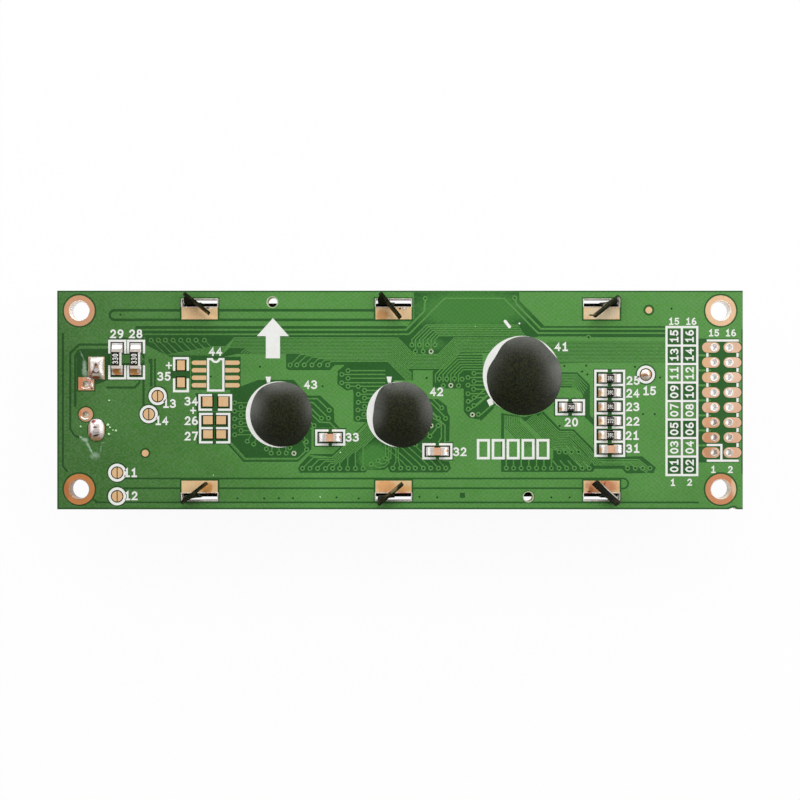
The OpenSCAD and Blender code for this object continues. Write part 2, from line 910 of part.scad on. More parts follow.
circuit_board();
bezel();
front_polarizer();
front_glass();
rear_glass();
rear_polarizer();
fill_port_seal();
zebra_strip_upper();
zebra_strip_lower();
backlight_frame();
light_guide();
diffuser_film();
reflector_film();
led_board();
led_chips();
backlight_pin_anode();
backlight_pin_cathode();
backlight_solder_anode();
backlight_solder_cathode();
resin_cap_left();
resin_cap_middle();
resin_cap_right();
resistor_bodies();
resistor_coats();
resistor_terminals();
capacitor_bodies();
capacitor_terminals();
chip_lands();
chip_solder();
mounting_rings();
header_pads();
tab_pads();
backlight_lands();
wire_pads();
spare_ic_pads();
spare_part_pads();
jumper_pads();
jumper_bridge();
test_pads();
legend_part_outlines();
legend_chip_rings();
legend_jumper_rings();
legend_pin_table();
legend_header_marks();
legend_arrow();
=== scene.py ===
"""Looks of a two-line character LCD module that lies on its display face.

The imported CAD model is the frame.  The pieces made here are the solder mask with the
copper pattern under it, the printed numerals, the resin caps, the hand-made solder joints
and the marks of handling.  Lengths in the classes are millimetres; meshes are metres.
"""

import logging
import math
from dataclasses import dataclass, field
from enum import Enum
from typing import Sequence

import bpy
import numpy as np
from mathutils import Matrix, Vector
from mathutils.geometry import delaunay_2d_cdt

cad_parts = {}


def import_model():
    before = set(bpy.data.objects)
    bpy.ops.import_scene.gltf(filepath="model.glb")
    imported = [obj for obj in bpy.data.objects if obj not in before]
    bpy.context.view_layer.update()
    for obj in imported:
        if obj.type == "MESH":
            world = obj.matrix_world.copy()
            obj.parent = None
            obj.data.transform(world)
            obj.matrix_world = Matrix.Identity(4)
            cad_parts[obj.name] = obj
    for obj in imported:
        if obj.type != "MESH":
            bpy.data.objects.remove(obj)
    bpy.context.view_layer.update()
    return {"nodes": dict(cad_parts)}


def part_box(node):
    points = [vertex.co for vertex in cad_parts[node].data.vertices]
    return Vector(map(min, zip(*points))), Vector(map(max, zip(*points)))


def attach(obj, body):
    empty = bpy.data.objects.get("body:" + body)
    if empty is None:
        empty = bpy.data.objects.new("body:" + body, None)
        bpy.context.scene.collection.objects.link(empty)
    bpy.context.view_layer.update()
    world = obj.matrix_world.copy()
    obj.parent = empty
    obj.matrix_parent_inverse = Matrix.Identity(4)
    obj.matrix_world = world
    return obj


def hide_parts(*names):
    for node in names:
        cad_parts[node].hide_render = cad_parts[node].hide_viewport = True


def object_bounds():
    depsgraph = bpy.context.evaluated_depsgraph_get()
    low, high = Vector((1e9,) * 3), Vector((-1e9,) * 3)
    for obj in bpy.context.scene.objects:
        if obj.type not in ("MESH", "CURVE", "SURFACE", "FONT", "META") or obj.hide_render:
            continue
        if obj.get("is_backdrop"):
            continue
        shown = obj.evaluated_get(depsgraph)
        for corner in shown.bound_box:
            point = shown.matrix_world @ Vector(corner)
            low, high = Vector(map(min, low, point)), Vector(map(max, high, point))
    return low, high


LOG = logging.getLogger("lcd_module")
MM = 0.001
BODY = "root"

Socket = bpy.types.NodeSocket
Material = bpy.types.Material
Piece = bpy.types.Object
Point = tuple[float, float]
Path = Sequence[Point]
# Shade or strength, x and y, half length, half height, and turn in degrees of one mark.
Mark = tuple[str | float, float, float, float, float, float]

# Greys between which most of a cloudy noise lies.
SWING = (0.3, 0.7)

# Places on the board that several classes share.
HEADER_COLUMNS = (53.15, 55.69)
HEADER_ROWS = [(7 - 2 * k) * 1.27 for k in range(8)]
MOUNTING_HOLES = [(x, y) for x in (-54.25, 54.25) for y in (-15.1, 15.1)]
TAB_SLOTS = [(x, side) for x in (-33.9, -1.1, 34.1) for side in (-1, 1)]
LARGE_CHIPS = (-47.85, -44.7)
LARGE_CHIP_ROW = 6.95
SMALL_CHIPS = [*[(35.5, 3.68 - 2.4 * k) for k in range(5)], (28.82, -1.2)]


# ---------------------------------------------------------------- node helpers


def linear(code: str) -> tuple[float, float, float, float]:
    """Turns an sRGB hex colour into linear values.

    Args:
        code: Six hex digits.

    Returns:
        Linear red, green and blue, and an alpha of one.
    """
    srgb = [int(code[i : i + 2], 16) / 255 for i in (0, 2, 4)]
    return (*[c / 12.92 if c <= 0.04045 else ((c + 0.055) / 1.055) ** 2.4 for c in srgb], 1.0)


def add(
    tree: bpy.types.NodeTree, kind: str, *values: object, out: int | str = 0,
    sockets: dict[int | str, object] | None = None, **settings: object,
) -> Socket | None:
    """Adds a node with its settings, values and links.

    Args:
        tree: The node tree of a material or a world.
        kind: Type of the node without its first word, and after a dot its operation.
        values: What its first inputs get: a value, an sRGB hex code, or a socket to link.
        out: The output that is wanted.
        sockets: The same for inputs by name or number.
        settings: Properties of the node, set before its inputs are filled.

    Returns:
        The wanted output, or None for a node that has none.
    """
    kind, _, operation = kind.partition(".")
    node = tree.nodes.new("ShaderNode" + kind)
    if operation:
        node.operation = operation
    for name, value in settings.items():
        setattr(node, name, value)
    for key, value in {**dict(enumerate(values)), **(sockets or {})}.items():
        if isinstance(value, Socket):
            tree.links.new(value, node.inputs[key])
        else:
            node.inputs[key].default_value = linear(value) if isinstance(value, str) else value
    return node.outputs[out] if node.outputs else None


class Pattern:
    """A new material and the patterns drawn in it, on Object coordinates.

    Attributes:
        made: The material.
        place: Socket with the place on the object, in metres.
        wander: Socket with the clouds that make the rims of marks ragged.
    """

    def __init__(self, name: str) -> None:
        """Makes the empty material and what all its patterns share.

        Args:
            name: Name of the material.
        """
        self.made = bpy.data.materials.new(name)
        self.made.use_nodes = True
        self.made.node_tree.nodes.clear()
        self.place = self.add("TexCoord", out="Object")
        self.wander = self.cloud(0.4)

    def add(self, kind: str, *values: object, **more: object) -> Socket | None:
        """Adds a node to this material, as the function of the same name says."""
        return add(self.made.node_tree, kind, *values, **more)

    def axis(self, number: int) -> Socket:
        """One coordinate of the place, in metres."""
        return self.add("SeparateXYZ", self.place, out=number)

    def cloud(
        self, size_mm: float, detail: float = 2.0, stretch: tuple[float, float, float] = (1, 1, 1)
    ) -> Socket:
        """Cloudy grey from 0 to 1, of the place stretched and counted in clouds.

        Args:
            size_mm: Size of one cloud.
            detail: Number of finer octaves.
            stretch: Factors on x, y and z; below 1 draws the clouds out along that axis.

        Returns:
            The grey value.
        """
        at = self.add("Mapping", self.place, sockets={"Scale": stretch})
        size = {"Vector": at, "Scale": 1 / (size_mm * MM), "Detail": detail}
        return self.add("TexNoise", sockets=size)

    def wave(self, along: Socket, pitch_mm: float) -> Socket:
        """Sine of one coordinate, with one period every pitch_mm."""
        return self.add("Math.SINE", self.add("Math.MULTIPLY", along, math.tau / (pitch_mm * MM)))

    def drift(
        self, colour: object, other: object, value: object,
        low: float = 0.0, high: float = 1.0, most: float = 1.0,
    ) -> Socket:
        """Turns one colour into another along a straight ramp.

        Args:
            colour: Colour at and before the ramp's start.
            other: Colour that it drifts to.
            value: Grey value that drives the ramp.
            low: Value at which the ramp starts.
            high: Value at which it ends.
            most: Share of the other colour at its end.

        Returns:
            The mixed colour.
        """
        share = self.add("MapRange", value, low, high, 0.0, most)
        return self.add("Mix", share, out=2, sockets={6: colour, 7: other}, data_type="RGBA")

    def away(self, mark: Mark, ragged: float) -> Socket:
        """Distance from the middle of a mark, counted in its half sizes, plus a wander.

        Args:
            mark: Its shade or strength, x and y, half length, half height and turn in degrees.
            ragged: How far its rim wanders; the mark ends at 1 + ragged / 2.

        Returns:
            The distance.
        """
        _, x, y, length, height, turn = mark
        placed = self.add("Mapping", self.place, (x * MM, y * MM, 0.0),
                          (0.0, 0.0, math.radians(turn)), (length * MM, height * MM, 1.0),
                          vector_type="TEXTURE")
        distance = self.add("VectorMath.LENGTH", placed, out=1)
        return self.add("Math.MULTIPLY_ADD", self.wander, ragged, distance)

    def marked(self, colour: object, marks: Sequence[Mark]) -> Socket:
        """Lays soft ragged marks over a colour, in their order.

        Args:
            colour: The colour under them.
            marks: The marks, each with its shade.

        Returns:
            The colour with its marks.
        """
        for mark in marks:
            colour = self.drift(colour, mark[0], self.away(mark, 0.5), 1.25, 0.85)
        return colour

    def surface(
        self, colour: object, roughness: object, *reliefs: tuple[Socket, float],
        **more: object,
    ) -> Material:
        """Adds the reliefs, the surface shader and the material's output.

        Args:
            colour: Base colour.
            roughness: Roughness.
            reliefs: Grey value and height in millimetres of each relief, the lowest first.
            more: Other inputs of the shader, with _ for the spaces in their names.

        Returns:
            The finished material.
        """
        sockets = {"Base Color": colour, "Roughness": roughness}
        sockets.update({name.replace("_", " "): value for name, value in more.items()})
        for height, depth_mm in reliefs:
            relief = {"Height": height, "Distance": depth_mm * MM}
            if "Normal" in sockets:
                relief["Normal"] = sockets["Normal"]
            sockets["Normal"] = self.add("Bump", sockets=relief)
        self.add("OutputMaterial", self.add("BsdfPrincipled", sockets=sockets))
        return self.made


# ---------------------------------------------------------------- finishes


@dataclass(frozen=True)
class Surface:
    """What every finish has.

    Attributes:
        name: The real material and how its surface was made.
    """

    name: str

    def draw(self, drawn: Pattern) -> Material:
        """Draws the finish.

        Args:
            drawn: The new material, still empty.

        Returns:
            The finished material.
        """
        raise NotImplementedError

    def material(self) -> Material:
        """Makes a material of its name and draws the finish in it."""
        return self.draw(Pattern(self.name))


@dataclass(frozen=True)
class Finish(Surface):
    """A finish of one colour family with clouds, a 0.25 mm grain and uneven gloss.

    Attributes:
        colour: Main colour.
        second: Colour that the clouds drift to.
        cloud_mm: Size of the clouds.
        roughness: Mean roughness.
        unevenness: How far the roughness drifts either way.
        metallic: 1 for bare metal.
        ior: Index of refraction; the default is the shader's own.
        grain_depth_mm: Height of the grain.
        stretch: Factors that draw the grain out, as a rolled or wiped surface has.
        transmission: Share of light let through.
        softness: Weight of subsurface light, for milky plastics.
    """

    colour: str
    second: str
    cloud_mm: float = 3.0
    roughness: float = 0.5
    unevenness: float = 0.08
    metallic: float = 0.0
    ior: float = 1.5
    grain_depth_mm: float = 0.003
    stretch: tuple[float, float, float] = (1, 1, 1)
    transmission: float = 0.0
    softness: float = 0.0

    def draw(self, drawn: Pattern) -> Material:
        """Draws it; its colour follows 0.7 clouds + 0.3 grain.

        Light goes 0.8 mm deep into the milky ones.
        """
        clouds, grain = drawn.cloud(self.cloud_mm, 3), drawn.cloud(0.25, 2, self.stretch)
        both = drawn.add("Math.MULTIPLY_ADD", grain, 0.3, drawn.add("Math.MULTIPLY", clouds, 0.7))
        return drawn.surface(
            drawn.drift(self.colour, self.second, both, 0.35, 0.65),
            drawn.add("MapRange", clouds, *SWING, self.roughness - self.unevenness,
                      self.roughness + self.unevenness),
            (grain, self.grain_depth_mm),
            Metallic=self.metallic, IOR=self.ior, Transmission_Weight=self.transmission,
            Subsurface_Weight=self.softness, Subsurface_Scale=1.0,
            Subsurface_Radius=(0.8 * MM, 0.8 * MM, 0.6 * MM),
        )


@dataclass(frozen=True)
class SolderMask(Surface):
    """Green liquid solder mask, screened and cured: a smooth coat with an orange-peel skin.

    The glass cloth under it shows as a faint square weave, and painted light makes it lighter to the
    right and towards the top.

    Attributes:
        left: Colour at the left end of the board, where its painted light is weakest.
        right: Colour at the right end, where its painted light is strongest.
        grain: How far pale grains lighten it, from 0 to 1.
        lighter_places: Lighter places in the colour, laid as marks.
        roughness: Mean roughness of the coat.
        weave: How far the weave darkens the colour, from 0 to 1.
    """

    left: str
    right: str
    grain: float
    lighter_places: Sequence[Mark] = ()
    roughness: float = 0.42
    weave: float = 0.26

    def draw(self, drawn: Pattern) -> Material:
        """Draws it; glass cloth has about 0.9 mm by 0.75 mm between its yarns."""
        x, y = drawn.axis(0), drawn.axis(1)
        clouds, peel, speck = drawn.cloud(9.0, 4), drawn.cloud(0.42), drawn.cloud(0.26, 1)
        # painted light: the colour gets lighter to the right and towards the top; the clouds in it
        # are the coat's own mottling
        along = drawn.add("MapRange", x, -58 * MM, -14 * MM, 0.0, 0.95)
        lift = drawn.add("MapRange", y, -18 * MM, 18 * MM, -0.42, -0.18)
        share = drawn.add("Math.MULTIPLY_ADD", clouds, 0.6, drawn.add("Math.ADD", along, lift))
        cloth = drawn.add("Math.MULTIPLY", drawn.wave(x, 0.9), drawn.wave(y, 0.75))
        skin = drawn.add("Math.MULTIPLY", drawn.add("Math.ADD", peel, speck), 0.9)
        shade = drawn.add("Math.MULTIPLY_ADD", cloth, 0.3, skin)
        colour = drawn.marked(drawn.drift(self.left, self.right, share), self.lighter_places)
        colour = drawn.drift(colour, "1F4A22", shade, 0.55, 1.25, self.weave)
        colour = drawn.drift(colour, "A9BFA0", speck, 0.35, 0.8, self.grain)
        gloss = drawn.add("MapRange", clouds, *SWING, self.roughness - 0.06,
                          self.roughness + 0.06)
        return drawn.surface(colour, gloss, (peel, 0.006), Specular_IOR_Level=0.35)


@dataclass(frozen=True)
class Laminate(Surface):
    """Glass-epoxy board: masked faces, and milled edges where the cloth layers show.

    Attributes:
        face: Colour of the masked faces.
        edge: Colour of the milled edge.
    """

    face: str
    edge: str

    def draw(self, drawn: Pattern) -> Material:
        """Draws it; the cloth layers are 0.2 mm thick."""
        up = drawn.add("SeparateXYZ", drawn.add("NewGeometry", out="Normal"), out=2)
        flat = drawn.add("MapRange", drawn.add("Math.ABSOLUTE", up), 0.6, 0.7)
        layers = drawn.add("MapRange", drawn.wave(drawn.axis(2), 0.2), -1.0, 1.0)
        fray, peel = drawn.cloud(0.3, 3), drawn.cloud(0.4)
        rim = drawn.drift(self.edge, "8C8A52", drawn.add("Math.MULTIPLY", layers, fray))
        face = drawn.drift(self.face, "245A2A", peel, *SWING, 0.3)
        gloss = drawn.add("MapRange", flat, 0.0, 1.0, 0.75, 0.42)
        return drawn.surface(drawn.drift(rim, face, flat), gloss, (fray, 0.01))


@dataclass(frozen=True)
class BareCopper(Surface):
    """Rolled copper under a thin clear preservative, dulled and stained by flux.

    Attributes:
        fresh: Colour where the copper is pale and matt.
        tarnished: Colour of the stains.
        stain: Share of the stains.
        marks: Places of other colours, laid in this order: stains, and on some pads painted
            reflections and painted shade.
    """

    fresh: str
    tarnished: str
    stain: float = 0.45
    marks: Sequence[Mark] = ()

    def draw(self, drawn: Pattern) -> Material:
        """Draws it; rolling marks are drawn at 0.25 mm, coarser than real ones."""
        stains, lines = drawn.cloud(1.6, 3), drawn.cloud(0.25, 2, (1.0, 0.25, 1.0))
        colour = drawn.drift(self.fresh, self.tarnished, stains, 0.42, 0.66, self.stain)
        colour = drawn.drift(drawn.marked(colour, self.marks), "A8683F", lines, 0.35, 0.75, 0.15)
        gloss = drawn.add("MapRange", stains, *SWING, 0.42, 0.55)
        return drawn.surface(colour, gloss, (lines, 0.003), Metallic=0.3)


@dataclass(frozen=True)
class HandSolder(Surface):
    """Solder laid with an iron: white where it is thick, burnt or coppery in named places.

    Attributes:
        bright: Colour of the thick solder.
        dull: Colour of its duller clouds.
        marks: Burnt, coppery and other places, some of them painted highlights, laid in this order.
        roughness: Mean roughness.
    """

    bright: str
    dull: str
    marks: Sequence[Mark] = ()
    roughness: float = 0.3

    def draw(self, drawn: Pattern) -> Material:
        """Draws it; ripples are drawn at 0.35 mm."""
        ripple = drawn.cloud(0.35)
        colour = drawn.drift(self.bright, self.dull, drawn.cloud(0.8), 0.45, 0.7)
        gloss = drawn.add("MapRange", ripple, *SWING, self.roughness - 0.08,
                          self.roughness + 0.12)
        return drawn.surface(drawn.marked(colour, self.marks), gloss, (ripple, 0.015),
                             Metallic=0.35)


@dataclass(frozen=True)
class FluxFilm(Surface):
    """Dried rosin flux wiped over the mask: a milky film, thickest in named places.

    Attributes:
        clouds: The thick places, each with its strength where a mark has its shade.
    """

    clouds: Sequence[Mark]

    def draw(self, drawn: Pattern) -> Material:
        """Draws it; the clouds' strengths add up to the film's cover."""
        cover = 0.0
        for mark in self.clouds:
            there = drawn.add("MapRange", drawn.away(mark, 0.8), 1.4, 0.5, 0.0, mark[0])
            cover = drawn.add("Math.ADD", there, cover)
        grain = drawn.add("MapRange", drawn.cloud(0.5), *SWING, 0.6, 1.0)
        cover = drawn.add("Math.MULTIPLY", cover, grain)
        return drawn.surface(drawn.drift("A0CBA2", "C6E0C4", drawn.cloud(0.7)), 0.6,
                             Alpha=drawn.add("Math.MINIMUM", cover, 0.9))


@dataclass(frozen=True)
class PaintedSteel(Surface):
    """Bezel of thin steel with baked black paint, rubbed brown where tabs were twisted.

    Attributes:
        paint: Colour of the paint.
        worn: Colour of the rubbed spots.
        marks: Painted highlights along the edges of the tabs and lighter spots near their ends, laid
            in this order.
    """

    paint: str
    worn: str
    marks: Sequence[Mark]

    def draw(self, drawn: Pattern) -> Material:
        """Draws it; only the tabs above the board carry rubbed spots."""
        skin = drawn.cloud(0.3)
        base = drawn.drift(self.paint, "12140A", skin, *SWING)
        rubbed = drawn.drift(base, self.worn, drawn.cloud(0.7, 3), 0.55, 0.7, 0.7)
        rubbed = drawn.marked(rubbed, self.marks)
        colour = drawn.drift(base, rubbed, drawn.axis(2), 10.5 * MM, 10.9 * MM)
        gloss = drawn.add("MapRange", skin, *SWING, 0.36, 0.5)
        return drawn.surface(colour, gloss, (skin, 0.012), Specular_IOR_Level=0.16)


@dataclass(frozen=True)
class ResinFinish(Surface):
    """Black epoxy dropped over a bare chip and baked: smooth, olive black, faintly pitted.

    Attributes:
        colour: Main colour.
        sheen: Colour of the duller skin.
    """

    colour: str
    sheen: str

    def draw(self, drawn: Pattern) -> Material:
        """Draws it; pits are drawn at 0.3 mm so that they show."""
        pits, flow = drawn.cloud(0.3), drawn.cloud(2.5)
        slope = drawn.add("LayerWeight", 0.5, out="Facing")
        return drawn.surface(
            drawn.drift(self.colour, self.sheen, pits, 0.38, 0.66),
            drawn.add("MapRange", flow, *SWING, 0.38, 0.48), (flow, 0.02), (pits, 0.014),
            Specular_IOR_Level=drawn.add("MapRange", slope, 0.03, 0.3, 0.3, 1.0),
        )


@dataclass(frozen=True)
class DotMatrixFilm(Surface):
    """Yellow-green film of the display: two lines of twenty cells of 5 by 8 pale dots.

    Attributes:
        ground: Colour of the film.
        dots: Colour of the dots that are off.
        cell_pitch: Distance between the middles of neighbouring cells, across and down.
        dot_pitch: Distance between neighbouring dots, across and down.
    """

    ground: str
    dots: str
    cell_pitch: Point = (3.7, 5.95)
    dot_pitch: Point = (0.65, 0.7)

    def draw(self, drawn: Pattern) -> Material:
        """Draws it; a place is in a dot where both coordinates fall in one."""
        inside = 1.0
        for k, (count, cells) in enumerate(((5, 20), (8, 2))):
            axis, cell, dot = drawn.axis(k), self.cell_pitch[k] * MM, self.dot_pitch[k] * MM
            margin, half = (cell - dot * count) / 2, cell * cells / 2
            within = drawn.add("Math.FLOORED_MODULO", drawn.add("Math.ADD", axis, half), cell)
            local = drawn.add("Math.SUBTRACT", within, margin)
            for test, value, limit in (
                ("LESS_THAN", drawn.add("Math.FLOORED_MODULO", local, dot), dot * 0.9),
                ("GREATER_THAN", local, 0.0), ("LESS_THAN", local, dot * count),
                ("LESS_THAN", drawn.add("Math.ABSOLUTE", axis), half),
            ):
                held = drawn.add("Math." + test, value, limit)
                inside = drawn.add("Math.MULTIPLY", held, inside)
        ground = drawn.drift(self.ground, "8E9650", drawn.cloud(6.0), *SWING, 0.4)
        return drawn.surface(drawn.drift(ground, self.dots, inside, most=0.35), 0.22,
                             IOR=1.49, Coat_Weight=0.3)


@dataclass(frozen=True)
class Stage(Surface):
    """White card under the part; camera and mirror rays see most of its own white.

    Attributes:
        lift: Share of plain white that rays from the camera, metal and glass see.
    """

    lift: float = 0.94

    def draw(self, drawn: Pattern) -> Material:
        """Draws it; the paper keeps the shadow in the rest of its share."""
        tooth = drawn.drift("FAFAF9", "F6F6F5", drawn.cloud(1.2), *SWING)
        seen = 0.0
        for ray in ("Is Camera Ray", "Is Glossy Ray", "Is Transmission Ray"):
            seen = drawn.add("Math.MAXIMUM", drawn.add("LightPath", out=ray), seen)
        mixed = drawn.add("MixShader", drawn.add("Math.MULTIPLY", seen, self.lift),
                          drawn.add("BsdfDiffuse", tooth), drawn.add("Emission", "FFFFFF", 1.0))
        drawn.add("OutputMaterial", mixed)
        return drawn.made


# ---------------------------------------------------------------- mesh helpers


@dataclass
class Shell:
    """A closed surface, or part of one, before it becomes a mesh.

    Attributes:
        points: One row per vertex, in millimetres.
        faces: Blocks of triangles or quads, as rows of vertex numbers.
        finish: Number of the material, one for all or one array per block.
        smooth: Whether its faces are shaded smooth.
    """

    points: np.ndarray
    faces: list[np.ndarray]
    finish: int | list[np.ndarray] = 0
    smooth: bool = True


def make_piece(
    name: str,
    shells: Sequence[Shell],
    materials: Sequence[Material],
    slot: str,
    stands_for: Sequence[str] = (),
) -> Piece:
    """Joins shells into one mesh object that rides on the body.

    Args:
        name: Name of the piece.
        shells: Its surfaces.
        materials: Materials that the shells' finish numbers point at.
        slot: Slot of the record for the piece's finish; not used.
        stands_for: CAD nodes that the piece replaces.

    Returns:
        The new object, at the origin.
    """
    loops, totals, numbers, smooth, base = [], [], [], [], 0
    for shell in shells:
        for k, block in enumerate(shell.faces):
            finish = shell.finish if isinstance(shell.finish, int) else shell.finish[k]
            loops.append((block + base).ravel())
            totals.append(np.full(len(block), block.shape[1]))
            numbers.append(np.broadcast_to(finish, len(block)))
            smooth.append(np.full(len(block), shell.smooth))
        base += len(shell.points)
    totals = np.concatenate(totals)
    mesh = bpy.data.meshes.new(name)
    mesh.vertices.add(base)
    points = np.concatenate([shell.points for shell in shells]) * MM
    mesh.vertices.foreach_set("co", points.ravel())
    mesh.loops.add(int(totals.sum()))
    mesh.loops.foreach_set("vertex_index", np.concatenate(loops).astype(np.int32))
    mesh.polygons.add(len(totals))
    mesh.polygons.foreach_set("loop_start", (np.cumsum(totals) - totals).astype(np.int32))
    mesh.polygons.foreach_set("loop_total", totals.astype(np.int32))
    mesh.polygons.foreach_set("material_index", np.concatenate(numbers).astype(np.int32))
    mesh.polygons.foreach_set("use_smooth", np.concatenate(smooth))
    for material in materials:
        mesh.materials.append(material)
    mesh.update(calc_edges=True)
    mesh.validate()
    piece = bpy.data.objects.new(name, mesh)
    bpy.context.scene.collection.objects.link(piece)
    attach(piece, BODY)
    if stands_for:
        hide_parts(*stands_for)
    return piece


def height_of(node: str) -> float:
    """Height of the highest point of a CAD node, in millimetres."""
    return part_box(node)[1].z / MM


def grid_faces(rows: int, columns: int, closed: bool = False) -> np.ndarray:
    """Quads between the neighbours of a grid of points.

    Args:
        rows: Number of rows.
        columns: Points in each row.
        closed: Whether the last point of a row meets the first.

    Returns:
        One row of four vertex numbers for each quad.
    """
    i, j = np.meshgrid(
        np.arange(rows - 1), np.arange(columns if closed else columns - 1), indexing="ij"
    )
    here, beside = i * columns + j, i * columns + (j + 1) % columns
    return np.stack([here, beside, beside + columns, here + columns], -1).reshape(-1, 4)


def mound(
    at: Point, reach: np.ndarray, profile: Sequence[Point], lean: Point = (0.0, 0.0)
) -> Shell:
    """Closed mound on any outline that a star can draw.

    Point (share s, angle a) = at + lean * (1 - s) + s * reach(a) * (cos a, sin a), at the
    profile's height for s.

    Args:
        at: Middle of the foot.
        reach: Distance from the middle to the outline, at even angles from 0.
        profile: Share of the reach and height, from the foot up to the top, share above 0.
        lean: Offset of the top from the middle of the foot.

    Returns:
        The mound, with its foot and top closed.
    """
    share, height = np.array(profile, float).T
    angle = np.linspace(0, 2 * np.pi, len(reach), endpoint=False)
    s = share[:, None]
    x = at[0] + lean[0] * (1 - s) + s * reach * np.cos(angle)
    y = at[1] + lean[1] * (1 - s) + s * reach * np.sin(angle)
    rings = np.stack([x, y, np.broadcast_to(height[:, None], x.shape)], -1).reshape(-1, 3)
    n, sides = len(rings), len(reach)
    foot = [at[0], at[1], height[0]]
    top = rings[-sides:].mean(0)
    turn = np.arange(sides)
    after = (turn + 1) % sides
    bottom = np.stack([after, turn, np.full(sides, n)], -1)
    last = n - sides
    crown = np.stack([last + turn, last + after, np.full(sides, n + 1)], -1)
    faces = [grid_faces(len(share), sides, True), bottom, crown]
    return Shell(np.vstack([rings, foot, top]), faces)


def swept_ring(base: np.ndarray, outward: np.ndarray, section: Sequence[Point]) -> Shell:
    """Ring with the same section all round, point = base + distance * outward.

    Args:
        base: Points round the ring, turning left.
        outward: Direction out of the ring at each point.
        section: Distance and height of each corner, inner side first and upwards.

    Returns:
        The closed ring.
    """
    away, height = np.array(section, float).T
    plan = base + away[:, None, None] * outward
    rings = np.concatenate([plan, np.broadcast_to(height[:, None, None], (*plan.shape[:2], 1))], -1)
    count = plan.shape[0] * plan.shape[1]
    faces = grid_faces(len(section) + 1, len(base), True) % count
    return Shell(rings.reshape(-1, 3), [faces[:, ::-1]])


def oval(
    rx: float, ry: float, swells: Sequence[tuple[float, float, float]], sides: int
) -> np.ndarray:
    """Radius of an oval at even angles, swollen or dented by bell curves.

    r(a) = 1 / sqrt((cos a / rx)^2 + (sin a / ry)^2) + sum of amount * exp(-((a - at) / wide)^2)

    Args:
        rx: Half length.
        ry: Half height.
        swells: Angle, width and amount of each swelling, angles in degrees.
        sides: Number of angles.

    Returns:
        The radii.
    """
    angle = np.linspace(0, 2 * np.pi, sides, endpoint=False)
    radius = 1 / np.hypot(np.cos(angle) / rx, np.sin(angle) / ry)
    for at, wide, amount in swells:
        away = (np.degrees(angle) - at + 180) % 360 - 180
        radius = radius + amount * np.exp(-((away / wide) ** 2))
    return radius


def offset_path(path: Path, distance: float | np.ndarray) -> np.ndarray:
    """Copy of a path moved to its left by a distance, with mitred corners.

    Args:
        path: Points of the path.
        distance: Distance to move; negative moves to the right.

    Returns:
        The moved points, p + d (n1 + n2) / (1 + n1 . n2).
    """
    p = np.asarray(path, float)
    step = np.diff(p, axis=0)
    step /= np.linalg.norm(step, axis=1, keepdims=True)
    normal = np.stack([-step[:, 1], step[:, 0]], -1)
    before = np.vstack([normal[:1], normal])
    after = np.vstack([normal, normal[-1:]])
    reach = np.maximum(1 + (before * after).sum(1, keepdims=True), 0.35)
    return p + np.asarray(distance)[..., None] * (before + after) / reach


def ribbon(path: Path, width: float) -> np.ndarray:
    """Outlines of the four-cornered links of a strip of even width along a path."""
    right, left = offset_path(path, -width / 2), offset_path(path, width / 2)
    return np.stack([right[:-1], right[1:], left[1:], left[:-1]], 1)


def disc(at: Point, radius: float, sides: int = 14) -> np.ndarray:
    """Outline of a circle."""
    angle = np.linspace(0, 2 * np.pi, sides, endpoint=False)
    return np.asarray(at) + radius * np.stack([np.cos(angle), np.sin(angle)], -1)


def box(x0: float, y0: float, x1: float, y1: float) -> np.ndarray:
    """Outline of an upright rectangle."""
    return np.array([(x0, y0), (x1, y0), (x1, y1), (x0, y1)], float)


def stadium(at: Point, length: float, height: float, sides: int = 8) -> np.ndarray:
    """Outline of a strip along x with two round ends.

    Args:
        at: Its middle.
        length: Its whole length.
        height: Its height.
        sides: Points of each round end.

    Returns:
        The outline.
    """
    angle = np.linspace(-np.pi / 2, np.pi / 2, sides)
    half = np.stack([np.cos(angle), np.sin(angle)], -1) * height / 2
    half[:, 0] += (length - height) / 2
    return np.asarray(at) + np.vstack([half, -half])


def curve(at: Point, reach: Point, start: float, end: float, points: int = 9) -> list[Point]:
    """Points on an oval arc, angles in degrees."""
    angle = np.radians(np.linspace(start, end, points))
    return list(zip(at[0] + reach[0] * np.cos(angle), at[1] + reach[1] * np.sin(angle)))


def inside(points: np.ndarray, outline: np.ndarray) -> np.ndarray:
    """Tells which points an outline holds, by how often its sides pass to their right.

    Args:
        points: Plan points.
        outline: Corners of the outline.

    Returns:
        True for each point that it holds.
    """
    x, y = points[:, :1], points[:, 1:]
    x0, y0 = outline.T
    x1, y1 = np.roll(outline, -1, axis=0).T
    spans = (y0 > y) != (y1 > y)
    with np.errstate(divide="ignore", invalid="ignore"):
        crossing = x0 + (y - y0) * (x1 - x0) / (y1 - y0)
    return (spans & (x < crossing)).sum(1) % 2 == 1


class Layer(Enum):
    """What the component side shows at a place; the value is its material's number."""

    POUR = 0
    BARE = 1
    # mask openings, drawn near black: bare laminate with painted shade over it
    OPEN = 2
    HOLE = 3
    TIN = 4
    CUT = 5


